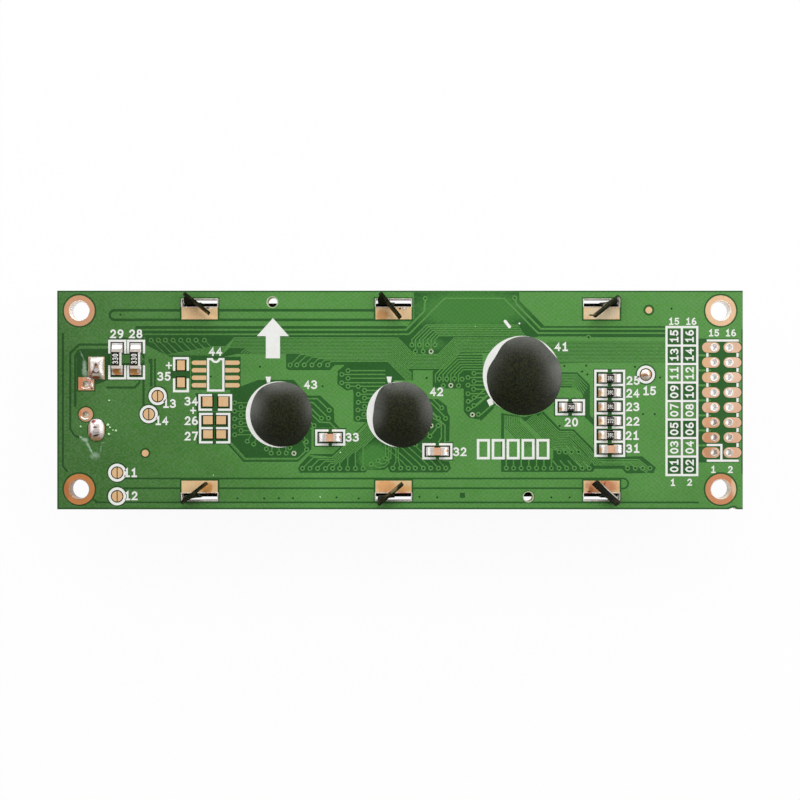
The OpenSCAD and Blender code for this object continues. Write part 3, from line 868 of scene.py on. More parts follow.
@dataclass
class LayeredSheet:
    """Sheet of flat shapes that cover each other in the order they are drawn.

    All outlines are cut against each other into triangles.  A triangle belongs to the last
    shape drawn over it, lies at that layer's height, and meets a lower neighbour with a
    short sloping wall.  The sheet is closed with rims and an underside.

    Attributes:
        floor: Height of the underside.
        heights: Height of each layer.
        slope: How far a wall's foot stands out from its top.
        shapes: Layer and outline of each shape, in the order they are drawn.
    """

    floor: float
    heights: dict[Layer, float]
    slope: float = 0.025
    shapes: list[tuple[Layer, np.ndarray]] = field(default_factory=list)

    def draw(self, layer: Layer, *outlines: np.ndarray) -> None:
        """Draws outlines over what is there.

        Args:
            layer: What they show.
            outlines: Outlines, or stacks of outlines with as many corners each.
        """
        for outline in outlines:
            stack = np.asarray(outline, float)
            for shape in stack if stack.ndim == 3 else [stack]:
                after = np.roll(shape, -1, axis=0)
                turn = (shape[:, 0] * after[:, 1] - shape[:, 1] * after[:, 0]).sum()
                self.shapes.append((layer, shape if turn > 0 else shape[::-1]))

    def triangles(self) -> tuple[np.ndarray, np.ndarray, np.ndarray]:
        """Cuts the shapes against each other.

        Returns:
            Plan points, triangles that turn left, and the layer number of each triangle.
        """
        corners = np.concatenate([outline for _, outline in self.shapes])
        number = np.arange(len(corners))
        ends = np.cumsum([len(outline) for _, outline in self.shapes])
        after = number + 1
        after[ends - 1] = np.concatenate([[0], ends[:-1]])
        found = delaunay_2d_cdt(
            [Vector(corner) for corner in corners],
            np.column_stack([number, after]).tolist(), [], 0, 1e-5, False,
        )
        plan, corner = np.array([tuple(v) for v in found[0]]), np.array(found[2])
        a, b, c = plan[corner[:, 0]], plan[corner[:, 1]], plan[corner[:, 2]]
        area = (b[:, 0] - a[:, 0]) * (c[:, 1] - a[:, 1]) - (b[:, 1] - a[:, 1]) * (c[:, 0] - a[:, 0])
        corner[area < 0] = corner[area < 0][:, ::-1]
        middle = (a + b + c) / 3
        kind = np.full(len(corner), Layer.CUT.value)
        for layer, outline in self.shapes:
            low, high = outline.min(0), outline.max(0)
            near = np.flatnonzero(((middle > low) & (middle < high)).all(1))
            if len(near):
                kind[near[inside(middle[near], outline)]] = layer.value
        kept = (kind != Layer.CUT.value) & (np.abs(area) > 1e-9)
        return plan, corner[kept], kind[kept]

    def shell(self) -> Shell:
        """Raises the triangles to their heights and joins them with walls.

        Returns:
            The closed sheet, shaded flat, with one material number per face.
        """
        plan, corner, kind = self.triangles()
        levels = np.array(sorted(set(self.heights.values())))
        table = np.zeros(len(Layer), int)
        for layer, height in self.heights.items():
            table[layer.value] = int(np.searchsorted(levels, height))
        level = table[kind]
        count, points = len(levels), len(plan)
        tops = corner * count + level[:, None]
        start, end = corner, np.roll(corner, -1, axis=1)
        owner = np.repeat(np.arange(len(corner)), 3)
        start, end = start.ravel(), end.ravel()
        key = np.minimum(start, end) * points + np.maximum(start, end)
        order = np.argsort(key, kind="stable")
        same = key[order][1:] == key[order][:-1]
        first, second = order[:-1][same], order[1:][same]
        paired = np.zeros(len(key), bool)
        paired[first] = paired[second] = True
        step = level[owner[first]] - level[owner[second]]
        high = np.where(step > 0, first, second)[step != 0]
        low = np.where(step > 0, second, first)[step != 0]
        up, down = level[owner[high]], level[owner[low]]
        a, b = start[high], end[high]
        walls = np.stack([a * count + down, b * count + down, b * count + up, a * count + up], -1)
        run = plan[b] - plan[a]
        out = np.stack([run[:, 1], -run[:, 0]], -1) / np.linalg.norm(run, axis=1)[:, None]
        shift = np.zeros((points * count, 2))
        np.add.at(shift, a * count + down, out)
        np.add.at(shift, b * count + down, out)
        length = np.linalg.norm(shift, axis=1, keepdims=True)
        shift = np.where(length > 0.2, shift / np.maximum(length, 0.2), 0.0) * self.slope
        flat = np.repeat(plan, count, axis=0) + shift
        raised = np.column_stack([flat, np.tile(levels, points)])
        under = np.column_stack([plan, np.full(points, self.floor)])
        base = points * count
        rim = ~paired
        a, b, lip = start[rim], end[rim], level[owner[rim]]
        rims = np.stack([a + base, b + base, b * count + lip, a * count + lip], -1)
        faces = [tops, corner[:, ::-1] + base, walls, rims]
        finish = [kind, kind, kind[owner[high]], kind[owner[rim]]]
        used, renumbered = np.unique(
            np.concatenate([block.ravel() for block in faces]), return_inverse=True
        )
        sizes = np.cumsum([block.size for block in faces])[:-1]
        faces = [
            part.reshape(block.shape)
            for part, block in zip(np.split(renumbered.ravel(), sizes), faces)
        ]
        return Shell(np.vstack([raised, under])[used], faces, finish, smooth=False)


# ---------------------------------------------------------------- solder mask and copper


class Via(Enum):
    """How a via shows under the mask."""

    TENTED = "a ring with a dark middle"
    TINNED = "a bright ring with a black hole"
    PINHOLE = "only a dark point"


@dataclass
class SolderMaskSheet:
    """Mask over the component side, raised where copper lies under it.

    Attributes:
        top: Height of the bare board.
        half_w: Half the board's length.
        half_h: Half the board's height.
        rim: Width of the strip without copper along the board's edge.
        clearance: Gap between the copper under the mask and a bare pad.
        line: Width of a fine track.
        pitch: Distance between fine tracks that run side by side.
    """

    top: float
    half_w: float = 58.0
    half_h: float = 18.5
    rim: float = 0.28
    clearance: float = 0.3
    line: float = 0.12
    pitch: float = 0.235

    def __post_init__(self) -> None:
        """Makes the empty lists that the drawing methods fill."""
        self.fields: list[Path] = []
        self.plates: list[Path] = []
        self.gaps: list[Path] = []
        self.tracks: list[Path] = []
        self.vias: list[tuple[Via, Point]] = []
        self.openings: list[Path] = []
        self.rims: list[Path] = []
        self.cuts: list[Path] = []

    def gap(self, width: float, *paths: Path) -> None:
        """Leaves a strip without copper along each path."""
        self.gaps += [ribbon(path, width) for path in paths]

    def track(self, width: float, *paths: Path) -> None:
        """Lays a track along each path."""
        self.tracks += [ribbon(path, width) for path in paths]

    def bundle(
        self, path: Path, count: int, pitch: float | None = None, width: float | None = None
    ) -> None:
        """Lays tracks side by side, each further to the right of the path.

        Args:
            path: The leftmost track, seen along its run.
            count: Number of tracks.
            pitch: Distance between neighbours.
            width: Width of each.
        """
        pitch, width = pitch or self.pitch, width or self.line
        self.track(width, *[offset_path(path, -pitch * k) for k in range(count)])

    def spots(self, *at: Point, look: Via = Via.TENTED) -> None:
        """Sets vias at free places."""
        self.vias += [(look, point) for point in at]

    def row(self, xs: Sequence[float], y: float, look: Via = Via.TENTED) -> None:
        """Sets vias at the same height."""
        self.spots(*[(x, y) for x in xs], look=look)

    def tails(self, xs: Sequence[float], y: float, *steps: Point, width: float = 0.2) -> None:
        """Sets vias at the same height, each with a short track.

        Args:
            xs: Places of the vias.
            y: Their height.
            steps: How far each corner of the track lies from the one before.
            width: Width of the tracks.
        """
        self.row(xs, y)
        for x in xs:
            path = [(x, y)]
            for dx, dy in steps:
                path.append((path[-1][0] + dx, path[-1][1] + dy))
            self.track(width, path)

    def left_end(self) -> None:
        """Supply tracks from the backlight joints and the resistors beside them."""
        self.gap(0.42,
            [(-49.4, 9.35), (-54.3, 9.35), (-55.8, 7.9), (-55.8, -4.9), (-55.1, -6.0),
                (-54.2, -6.4)])
        self.gap(0.45, [(-49.4, 8.45), (-54.0, 8.45), (-54.95, 7.5), (-54.95, -1.2)])
        self.fields.append([(-54.7, 8.4), (-49.4, 8.4), (-49.4, 10.55), (-43.2, 10.55),
                (-43.2, 3.3), (-49.4, 3.3), (-54.7, 1.4)])
        self.gap(0.42, [(-49.7, 2.08), (-44.9, 2.08), (-44.1, 2.9), (-44.1, 3.6)])
        self.gap(0.4, [(-43.4, 3.4), (-43.4, -0.9)],
            [(-57.05, 11.3), (-57.05, -11.2), (-56.2, -12.2)])
        self.gap(1.3, [(-41.95, 7.0), (-41.95, 2.2)])
        self.track(0.24, [(-43.9, 7.1), (-43.0, 6.6), (-42.45, 6.0), (-42.45, 2.2)],
            [(-41.75, 7.2), (-41.75, 2.2)])
        self.plates.append(box(-49.0, 6.25, -43.6, 7.6))

    def long_tracks(self) -> None:
        """Wide supply tracks that run most of the board's length, above and below."""
        self.fields += [ribbon([(-48.45, 14.35), (2.2, 14.35)], 2.1),
            disc((-48.3, 14.35), 1.05, 18), box(-44.8, 10.6, 45.2, 12.5),
            [(2.35, 18.2), (20.15, 18.2), (20.25, 16.75), (24.35, 12.6), (21.9, 10.9), (1.4, 10.9),
                (1.4, 12.75), (2.35, 13.7)]]
        self.plates += [ribbon([(-48.3, 14.35), (1.6, 14.35)], 1.15),
            disc((-48.3, 14.35), 0.575, 14), box(-44.8, 12.62, 1.1, 13.2)]
        self.track(0.3, [(-44.6, 11.87), (1.0, 11.87), (4.1, 15.0), (4.25, 17.1)],
            [(19.4, 17.2), (19.7, 16.2), (23.8, 12.03), (45, 12.03)])
        self.track(0.24,
            [(-44.6, 11.1), (1.5, 11.1), (7.1, 16.7), (7.6, 17.15), (17.6, 17.15), (23.35, 11.3),
                (45, 11.3)])
        self.spots((4.25, 17.15), (19.4, 17.25))
        self.gap(0.34,
            [(-46.8, -13.3), (37.6, -13.3), *curve((37.75, -14.15), (0.86, 0.86), 78, -78, 7),
                (37.2, -15.0)], [(-46.8, -14.95), (37.2, -14.95)],
            [(-51.6, -17.35), (50.6, -17.35)], [(-51.2, -17.3), (-52.2, -16.6)])

    def left_chip(self) -> None:
        """Fan of vias and tracks round the left resin cap."""
        self.fields += [[(-28.75, 1.6), (-28.75, -7.35), (-26.35, -10.1), (-17.2, -10.1),
                (-15.35, -8.6), (-15.1, -4.7), (-10.2, -4.7), (-11.05, -3.8), (-11.2, -1.4),
                (-13.5, 0.75), (-15.6, 0.75), (-18.0, 3.4), (-24.0, 3.4)],
            [(-19.3, 8.0), (-19.3, 5.4), (-18.8, 5.0), (-11.9, 5.0), (-11.0, 5.9), (-2.0, 5.9),
                (-2.0, 8.0)]]
        self.gap(0.36,
            [(-29.05, -7.4), (-26.45, -10.33), (-17.35, -10.33), (-16.0, -9.1), (-15.15, -8.3),
                (-15.15, -5.0)])
        self.track(0.22,
            [(-28.75, -7.1), (-26.2, -9.93), (-17.3, -9.93), (-16.3, -9.0), (-15.8, -8.45)])
        outer, inner = (-0.5, -1.9, -3.2, -4.5, -5.9), (-1.2, -2.55, -3.9, -5.2)
        for x, ys in ((-28.0, outer), (-26.9, inner)):
            self.spots(*[(x, y) for y in ys])
            self.track(0.16, *[[(x, y), (-25.2, y)] for y in ys])
        below = ((-25.85, -7.0), (-24.75, -7.5), (-22.6, -8.3), (-21.8, -9.0), (-20.5, -9.0),
            (-19.25, -9.0), (-18.65, -8.1), (-15.85, -7.1), (-15.8, -8.4))
        self.spots(*below)
        self.spots((-17.95, -9.05), look=Via.TINNED)
        self.track(0.16, *[[(x, y), (x - 0.1575 * (x + 20.0), y + 1.5)] for x, y in below])
        self.spots((-12.0, -1.75), (-12.1, -3.1), (-13.3, -3.1), (-14.55, -4.35))
        self.track(0.2, [(-15.6, 0.2), (-14.0, 0.2), (-12.0, -1.75)],
            [(-15.6, -0.35), (-14.7, -0.5), (-12.1, -3.1)], [(-15.4, -1.1), (-13.3, -3.1)],
            [(-15.3, -3.6), (-14.55, -4.35)],
            [(-15.2, -2.2), (-13.6, -3.75), (-11.9, -3.85), (-10.8, -4.9)])
        columns = (-18.6, -17.45, -16.2, -14.9, -13.6, -12.25)
        self.row(columns, 5.9)
        for k, x in enumerate(columns):
            y, turn = 7.69 - 0.235 * k, -1.57 - 0.097 * k
            end = min(1.95, turn + y - 3.3)
            self.track(0.13, [(x, 5.9), (x + y - 5.9, y), (turn, y), (end, turn + y - end)])
        self.spots((-13.1, 2.3), (-23.7, 5.6), (-32.0, 3.95), look=Via.PINHOLE)

    def upper_bundle(self) -> None:
        """Fine tracks along the top, from the vias on the left to the middle chips."""
        self.fields += [[(-43.1, 11.0), (-43.1, 9.3), (-38.5, 7.1), (-31.0, 7.1), (-27.5, 7.75),
                (-9.5, 7.75), (-9.5, 5.75), (-7.5, 1.0), (-2.0, 1.0), (-1.0, 3.3), (2.2, 3.3),
                (2.2, 5.0), (-1.0, 8.2), (-2.5, 11.2)]]
        columns = (-42.1, -40.9, -39.7, -38.4, -37.1, -35.8, -34.5, -33.1)
        self.row(columns, 10.1)
        for k, x in enumerate(columns):
            low, high = 7.6 + 0.2 * k, 8.85 + 0.235 * k
            self.track(0.12,
                [(x, 10.1), (x + 10.1 - low, low), (-30.2 + 0.1 * k, low),
                    (-30.2 + 0.1 * k + high - low, high), (-1.9, high)])
        for k in range(4):
            y = 8.615 - 0.235 * k
            ends = [(-1.9, y)] if k < 3 else [(-1.47, y), (1.95, y - 3.42)]
            self.track(0.12, [(-26.9 + 0.3 * k, y - 0.7), (-26.2 + 0.3 * k, y), *ends])
        self.gap(0.26, [(-27.5, 7.9), (-22.7, 7.9)])

    def middle_chip(self) -> None:
        """Vias and tracks round the middle resin cap and under its label."""
        self.fields += [[(-9.5, 5.75), (-10.55, 4.9), (-10.65, 2.7), (-9.1, 1.55), (-8.0, 1.75),
                (-7.9, 1.0), (-7.9, -3.4), (-7.5, -3.75), (-5.2, -3.75), (-4.0, 6.1)],
            [(5.0, 0.2), (6.4, 0.15), (7.9, -1.0), (8.1, -2.2), (8.45, -2.8), (8.35, -7.0),
                (7.1, -7.1), (3.6, -7.3), (3.5, -10.1), (8.3, -10.4), (8.65, -11.6), (8.0, -12.3),
                (-1.7, -12.3), (-2.1, -11.4), (-2.8, -11.9), (-5.6, -11.9), (-5.8, -12.3),
                (-17.0, -12.35), (-17.3, -11.6), (-16.9, -10.9), (-15.2, -9.15), (-11.4, -9.15),
                (-5.6, -3.6)]]
        left = ((-9.85, 4.3), (-8.8, 4.95), (-8.8, 3.65), (-9.85, 2.9), (-8.8, 2.3), (-6.0, 1.6),
            (-7.05, 0.95), (-6.0, 0.3), (-7.05, -0.4), (-6.0, -1.1), (-7.1, -1.7), (-6.1, -2.45),
            (-7.1, -3.1))
        self.spots(*left, (-7.05, 2.25))
        self.track(0.18, *[[(x, y), (-2.5, y)] for x, y in left])
        self.track(0.2, [(-15.3, -9.45), (-11.5, -9.75), (-4.7, -3.4)])
        low = (-16.5, -15.25, -13.95, -12.6, -11.4, -10.2, -8.85, -7.55, -6.25)
        self.row(low, -11.6)
        for k, x in enumerate(low):
            level, slant = -9.75 - 0.33 * k, 1.65 - 0.424 * k
            start = [(x + level + 11.6, level), (level - slant, level)] if k < 4 else [(x, x + slant)]
            self.track(0.17, [(x, -11.6), *start, (-4.2, slant - 4.2)])
        self.spots((-4.9, -10.9), (-3.75, -10.3), (-2.47, -9.87))
        self.track(0.16, [(-4.9, -10.9), (-3.6, -11.5), (-2.6, -11.3), (-1.9, -10.6), (-1.9, -7.8)],
            [(-2.47, -9.87), (-2.47, -7.6)])
        self.track(0.16,
            [(-3.75, -10.3), (-3.2, -10.85), (-2.5, -10.7), (-2.2, -10.3), (-1.55, -9.9),
                (-1.5, -7.6)])
        right = (-1.2, 0.1, 1.4, 2.6, 3.95, 5.2, 6.5, 7.75)
        self.row(right, -11.55)
        for k, x in enumerate(right[2:]):
            self.track(0.15, [(x, -11.55), (x - 1.1, -10.4), (x - 3.9 + 0.05 * k, -8.0)])
        self.track(0.15, [(-1.2, -11.5), (-0.7, -10.4), (-0.7, -7.6)],
            [(0.1, -11.5), (-0.3, -10.2), (-0.3, -7.6)])
        beside = ((7.05, -1.35), (6.5, -3.1), (7.7, -3.15), (6.45, -4.35), (5.05, -6.15),
            (2.6, -7.55))
        self.spots(*beside)
        self.spots((5.25, -4.35), look=Via.TINNED)
        self.track(0.2, [(5.0, 0.7), (7.05, -1.35)], [(5.2, -0.4), (7.7, -3.0)],
            [(5.3, -1.8), (6.5, -3.1)], [(5.4, -2.9), (7.0, -3.95), (7.0, -6.4), (6.5, -7.2)],
            [(6.45, -4.35), (5.9, -5.2), (5.05, -6.15)], [(4.6, -5.3), (5.05, -6.15)],
            [(5.4, -2.2), (7.6, -4.3), (7.6, -7.2)])

    def above_middle(self) -> None:
        """Vias between the middle and the right chip, with their nested tracks."""
        upper, lower = (2.0, 3.3, 4.65, 5.9), (2.6, 3.9, 5.25)
        self.fields.append([(-4.0, 11.0), (1.6, 11.0), (3.4, 12.9), (21.8, 12.9), (21.8, 7.9),
                (10.3, 7.9), (7.5, 5.0), (1.3, 5.0), (-1.6, 7.8), (-4.0, 7.8)])
        self.row(upper, 9.3)
        self.row(lower[:2], 8.2)
        self.row(lower[2:], 8.2, Via.TINNED)
        for k, x in enumerate(sorted(upper + lower)):
            y = 12.66 - 0.3 * k
            self.track(0.16,
                [(x, 9.3 if x in upper else 8.2), (x, 10.2), (x + y - 10.2, y),
                    (20.0 + 0.2 * k, y)])
        self.bundle([(-2.1, 10.495), (-0.4, 10.495), (2.4, 7.695), (6.4, 7.695), (9.2, 10.495),
                (21.8, 10.495)], 11)
        self.fields.append([(5.5, 2.2), (5.5, 4.8), (8.6, 7.95), (14.0, 7.75), (14.0, 1.6),
                (11.9, -2.9), (13.6, -3.3), (17.0, 0.2), (14.0, 4.4), (11.0, 4.3), (10.9, 1.9),
                (6.6, 1.9)])
        nested = ((6.65, 3.6), (7.9, 3.55), (9.2, 3.6), (10.5, 3.5), (7.3, 2.4), (9.9, 2.4))
        self.spots(*nested)
        self.spots((8.6, 2.45), (12.25, -2.5), look=Via.TINNED)
        for k in range(7):
            x, y = 5.98 + 0.65 * k, 7.7 - 0.43 * k
            self.track(0.17, [(x, 3.0), (x, 4.3), (x + y - 4.3, y), (14.5, y)])
        columns = ((11.5, 3.8), (12.5, 4.5), (12.5, 3.15), (11.5, 2.5), (12.45, 1.8), (11.5, 1.05),
            (12.5, 0.4), (11.55, -0.25), (12.5, -0.95), (11.55, -1.55), (13.25, -2.45))
        self.spots(*columns)
        self.fields.append([(10.75, 4.4), (10.75, -1.9), (11.6, -3.0), (13.3, -3.35), (16.8, -0.3),
                (14.0, 5.0)])
        self.track(0.2, *[[(x, y), (14.4, y)] for x, y in columns[:7]])
        self.track(0.2, *[[(x, y), (x + 0.5, y), (x + 3.2, y + 2.4)] for x, y in columns[7:]])
        self.gap(0.3, [(15.9, -1.2), (13.6, -3.45)])
        self.spots((4.5, 3.7), look=Via.PINHOLE)

    def right_chip(self) -> None:
        """Tracks that fan out round the right resin cap towards the header."""
        self.fields += [[(25.0, 10.0), (45.2, 10.0), (45.2, 6.3), (31.0, 6.25), (26.6, 6.1),
                (23.0, 7.0)],
            [(26.8, 4.5), (29.9, 4.5), (31.9, 2.6), (31.9, -2.6), (33.0, -3.6), (33.0, -4.6),
                (31.2, -2.9), (30.9, 0.9), (29.6, 2.1), (26.8, 2.1)],
            [(17.1, -2.2), (17.1, -12.2), (32.6, -12.2), (33.0, -11.6), (37.6, -11.6),
                (38.2, -12.3), (42.7, -12.3), (43.1, -11.4), (42.2, -10.6), (41.2, -9.7),
                (33.6, -9.75), (32.6, -8.6), (29.4, -5.2), (27.0, -5.2), (24.0, -2.1),
                (21.0, -2.9)]]
        self.plates.append([(17.6, -2.6), (20.4, -2.9), (25.9, -8.4), (25.9, -10.0), (17.6, -10.0)])
        self.bundle([(20.5, 9.9), (45.2, 9.9)], 16, 0.232, 0.12)
        self.track(0.2, [(31.5, 5.7), (37.7, 5.7), (39.1, 4.25)], [(23.3, 10.62), (31.9, 10.62)],
            [(26.5, 0.8), (28.3, 0.75), (28.9, 0.2)])
        self.spots((31.9, 10.62), (27.8, 5.75), (31.5, 5.8), (30.8, 4.8), (39.75, 5.6),
            (31.7, 4.3))
        for k in range(8):
            y = 4.3 - 0.26 * k
            self.track(0.13, [(27.2, y), (29.8 - 0.1 * k, y), (31.8 - 0.22 * k, 2.3 - 0.4 * k)])
        self.gap(0.26, [(26.9, 4.55), (29.95, 4.55), (32.0, 2.5), (32.0, -2.6), (33.0, -3.7)])
        for k in range(9):
            x = 17.75 + 0.3 * k
            self.gap(0.11, [(x, -2.4), (x, -4.6 + 0.1 * k), (x + 3.6, -8.2 + 0.1 * k)])
        self.gap(0.3, [(21.2, -3.2), (26.4, -8.6)],
            [(24.1, -2.0), (27.1, -5.1), (29.35, -5.1), (32.8, -8.6), (32.9, -9.6)])
        self.bundle([(23.9, -2.3), (26.9, -5.35), (29.2, -5.35), (32.2, -8.4), (33.4, -10.1),
                (40.3, -10.1), (41.1, -10.7), (42.3, -11.6)], 4, 0.3, 0.16)
        self.bundle([(22.7, -2.3), (26.7, -6.5), (28.7, -6.6), (32.5, -10.6)], 8, 0.28, 0.15)
        self.tails((17.97, 19.2, 20.5, 21.8, 23.1, 24.35, 25.6), -11.55, (0.0, 1.5))
        self.tails((26.9, 28.2, 29.5, 30.8, 32.0), -11.55, (-1.1, 1.3))
        self.tails((26.9, 28.0, 29.0, 30.2), -8.8, (-0.9, 1.0), width=0.18)
        self.tails((38.5, 39.8, 41.05), -11.55, (-0.8, 0.85), (-3.6, 0.1), width=0.18)
        self.spots((42.3, -11.55))
        self.gap(0.36,
            [(33.0, -9.85), (40.9, -9.7), (42.2, -10.75), (43.1, -11.5), (42.8, -12.2),
                (38.4, -12.3), (37.6, -11.5), (33.0, -11.5)])
        self.spots((44.0, 3.8), (41.1, -2.4), (43.1, -2.4), (45.95, 15.45), (-47.3, 14.4),
            (-27.5, -16.65), (-23.0, -16.7), (-20.5, -16.65), (-18.1, -16.65), (-10.75, -16.5),
            (-7.0, -16.7), (3.3, -16.4), (6.3, -16.5), (25.6, -16.5), (28.7, -16.5), (27.0, -4.4),
            look=Via.PINHOLE)
        self.fields.append(box(10.1, -16.6, 11.0, -15.7))

    def spare_places(self) -> None:
        """Copper round the places of chips that are left off, and round the header."""
        self.fields += [box(-35.4, 1.7, -26.95, 7.3), box(-38.9, 3.6, -35.5, 5.2),
            box(-34.6, -1.95, -28.0, 1.15), box(-34.4, -7.5, -28.5, -2.0),
            box(45.1, -12.5, 58.0, 12.0)]
        self.plates += [box(-32.6, 1.9, -29.75, 6.9),
            *[box(x, y, x + 2.1, y + 2.6) for x in (45.3, 47.9) for y in (-9.4, -3.1, 3.1)],
            *[ribbon([(50.6, y), (52.6, y)], 0.22) for y in np.arange(-7.7, 8.0, 2.54)],
            *[ribbon([(50.4, y + 1.2), (51.6, y + 1.2)], 0.3) for y in np.arange(-8.9, 8.0, 2.54)],
            box(50.5, -12.5, 57.7, -10.6), box(50.5, 10.4, 57.7, 12.0),
            ribbon([(57.55, -12.5), (57.55, 12.0)], 0.4)]

    def pads(self) -> None:
        """Openings of the mask round every bare pad, and the holes through the board."""
        # the openings reach deep past the lands and are drawn near black as painted shade
        gap, deep = self.clearance, 0.22
        self.gaps += [disc(at, 2.6 + gap, 48) for at in MOUNTING_HOLES]
        self.cuts += [disc(at, 1.66, 40) for at in MOUNTING_HOLES]
        for side, x in zip((-1, 1), HEADER_COLUMNS):
            for y in HEADER_ROWS:
                self.gaps.append(stadium((x + side * 0.55, y), 3.0 + 2 * 0.2, 1.75 + 2 * 0.2))
                self.cuts.append(disc((x, y), 0.51, 20))
        for x, side in TAB_SLOTS:
            low, high = sorted((side * 13.65, side * 17.05))
            self.gaps.append(box(x - 3.05 - gap, low - gap, x + 3.05 + gap, high + gap))
            low, high = sorted((side * 15.74, side * 17.06))
            self.cuts.append(box(x - 3.06, low, x + 3.06, high))
        for at, diameter in (((-21.6, 16.55), 1.65), ((21.7, -16.4), 1.6)):
            self.rims.append(disc(at, diameter / 2 + 0.14, 28))
            self.cuts.append(disc(at, diameter / 2 + 0.01, 28))
        self.gaps.append(disc((21.7, -16.4), 1.1, 24))
        for at in ((-53.16, 2.72), (-53.15, -2.45)):
            self.cuts.append(disc(at, 0.56, 20))
        for at in ((-51.1, 5.0), (-51.1, -5.1)):
            self.cuts.append(disc(at, 0.36, 16))
        self.gaps += [box(-52.9, 3.3, -49.8, 7.5), box(-54.65, 1.4, -51.5, 4.1),
            disc((-53.15, -2.45), 1.45, 28), stadium((-51.35, -5.05), 3.1, 3.1),
            box(-52.9, -5.8, -49.8, -4.3), stadium((-51.35, -5.6), 3.0, 3.0),
            stadium((-51.35, -4.5), 3.0, 3.0), disc((-43.1, -9.0), 0.9, 24),
            disc((42.1, 15.2), 0.95, 24)]
        for at in ((-47.85, -12.3), (-47.85, -16.3), (-41, 0.65), (-42.5, -2.4), (41.6, 4.3)):
            self.gaps.append(disc(at, 1.78, 32))
            self.openings.append(disc(at, 1.1, 28))
        for x, y in [*SMALL_CHIPS, (35.62, -8.3), (-11.8, -6.35), (6.32, -8.68)]:
            self.gaps.append(box(x - 2.8, y - 1.6, x + 2.7, y + 1.6))
            self.openings.append(box(x - 1.93 - deep, y - 0.66 - deep, x + 1.93 + deep,
                                     y + 0.66 + deep))
        for x0, y0, dx, dy in (
            *[(x - 0.8, LARGE_CHIP_ROW + s * 1.9 - 0.8, 1.6, 1.6)
              for x in LARGE_CHIPS for s in (-1, 1)],
            (-37.7, 2.15, 1.3, 1.65), (-37.7, 5.05, 1.3, 1.65),
            *[(x, -1.1, 1.65, 1.65) for x in (-33.4, -30.7)],
            *[(x, y, 1.6, 1.4) for x in (-33.3, -31.05) for y in (-4.1, -6.5)],
        ):
            self.openings.append(box(x0 - deep, y0 - deep, x0 + dx + deep, y0 + dy + deep))
        for row in (-1.5, -0.5, 0.5, 1.5):
            for side in (-1, 1):
                at = (-31.17 + side * 2.84, 4.4 + row * 1.27)
                self.gaps.append(stadium(at, 2.8, 1.02))

    def sheet(self) -> LayeredSheet:
        """Puts all that was drawn into one sheet, fields first and holes last.

        Returns:
            The sheet, ready to be raised.
        """
        top, w, h = self.top, self.half_w, self.half_h
        heights = {
            Layer.POUR: top + 0.032, Layer.BARE: top + 0.01, Layer.OPEN: top + 0.006,
            Layer.HOLE: top + 0.003, Layer.TIN: top + 0.036,
        }
        made = LayeredSheet(top - 0.01, heights)
        nick = [(55.6, -18.47), (56.6, -18.1), (57.0, -18.47)]
        edge = [(-w + 0.02, -h + 0.02), *nick, (w - 0.02, -h + 0.02), (w - 0.02, h - 0.02),
                (-w + 0.02, h - 0.02)]
        rim = self.rim
        copper = [(-w + rim, -h + rim), (55.3, -h + rim), (56.6, -17.8), (57.2, -h + rim),
                  (w - 0.04, -h + rim), (w - 0.04, h - rim), (-w + rim, h - rim)]
        made.draw(Layer.BARE, edge)
        made.draw(Layer.POUR, copper)
        made.draw(Layer.BARE, *self.fields)
        made.draw(Layer.POUR, *self.plates)
        made.draw(Layer.BARE, *self.gaps)
        made.draw(Layer.POUR, *self.tracks)
        for look, at in self.vias:
            self.draw_via(made, look, at)
        made.draw(Layer.OPEN, *self.openings)
        made.draw(Layer.TIN, *self.rims)
        made.draw(Layer.CUT, *self.cuts)
        return made

    @staticmethod
    def draw_via(made: LayeredSheet, look: Via, at: Point) -> None:
        """Draws one via.

        Args:
            made: Sheet to draw on.
            look: How the via shows.
            at: Its middle.
        """
        if look is Via.PINHOLE:
            made.draw(Layer.BARE, disc(at, 0.22, 12))
            made.draw(Layer.HOLE, disc(at, 0.12, 10))
            return
        ring = Layer.TIN if look is Via.TINNED else Layer.POUR
        made.draw(ring, disc(at, 0.4, 16))
        made.draw(Layer.BARE, disc(at, 0.23, 12))
        made.draw(Layer.HOLE, disc(at, 0.2 if look is Via.TINNED else 0.13, 10))

    def build(self, finishes: dict[str, Material]) -> list[Piece]:
        """Draws the whole pattern and makes the piece.

        Args:
            finishes: The materials by name.

        Returns:
            The mask sheet.
        """
        for part in (self.left_end, self.long_tracks, self.left_chip, self.upper_bundle,
                     self.middle_chip, self.above_middle, self.right_chip, self.spare_places,
                     self.pads):
            part()
        layers = ("mask_pour", "mask_bare", "mask_open_shade", "via_hole", "tin")
        return [make_piece("solder_mask_back", [self.sheet().shell()],
                           [finishes[name] for name in layers], "board_laminate")]


# ---------------------------------------------------------------- printed numerals


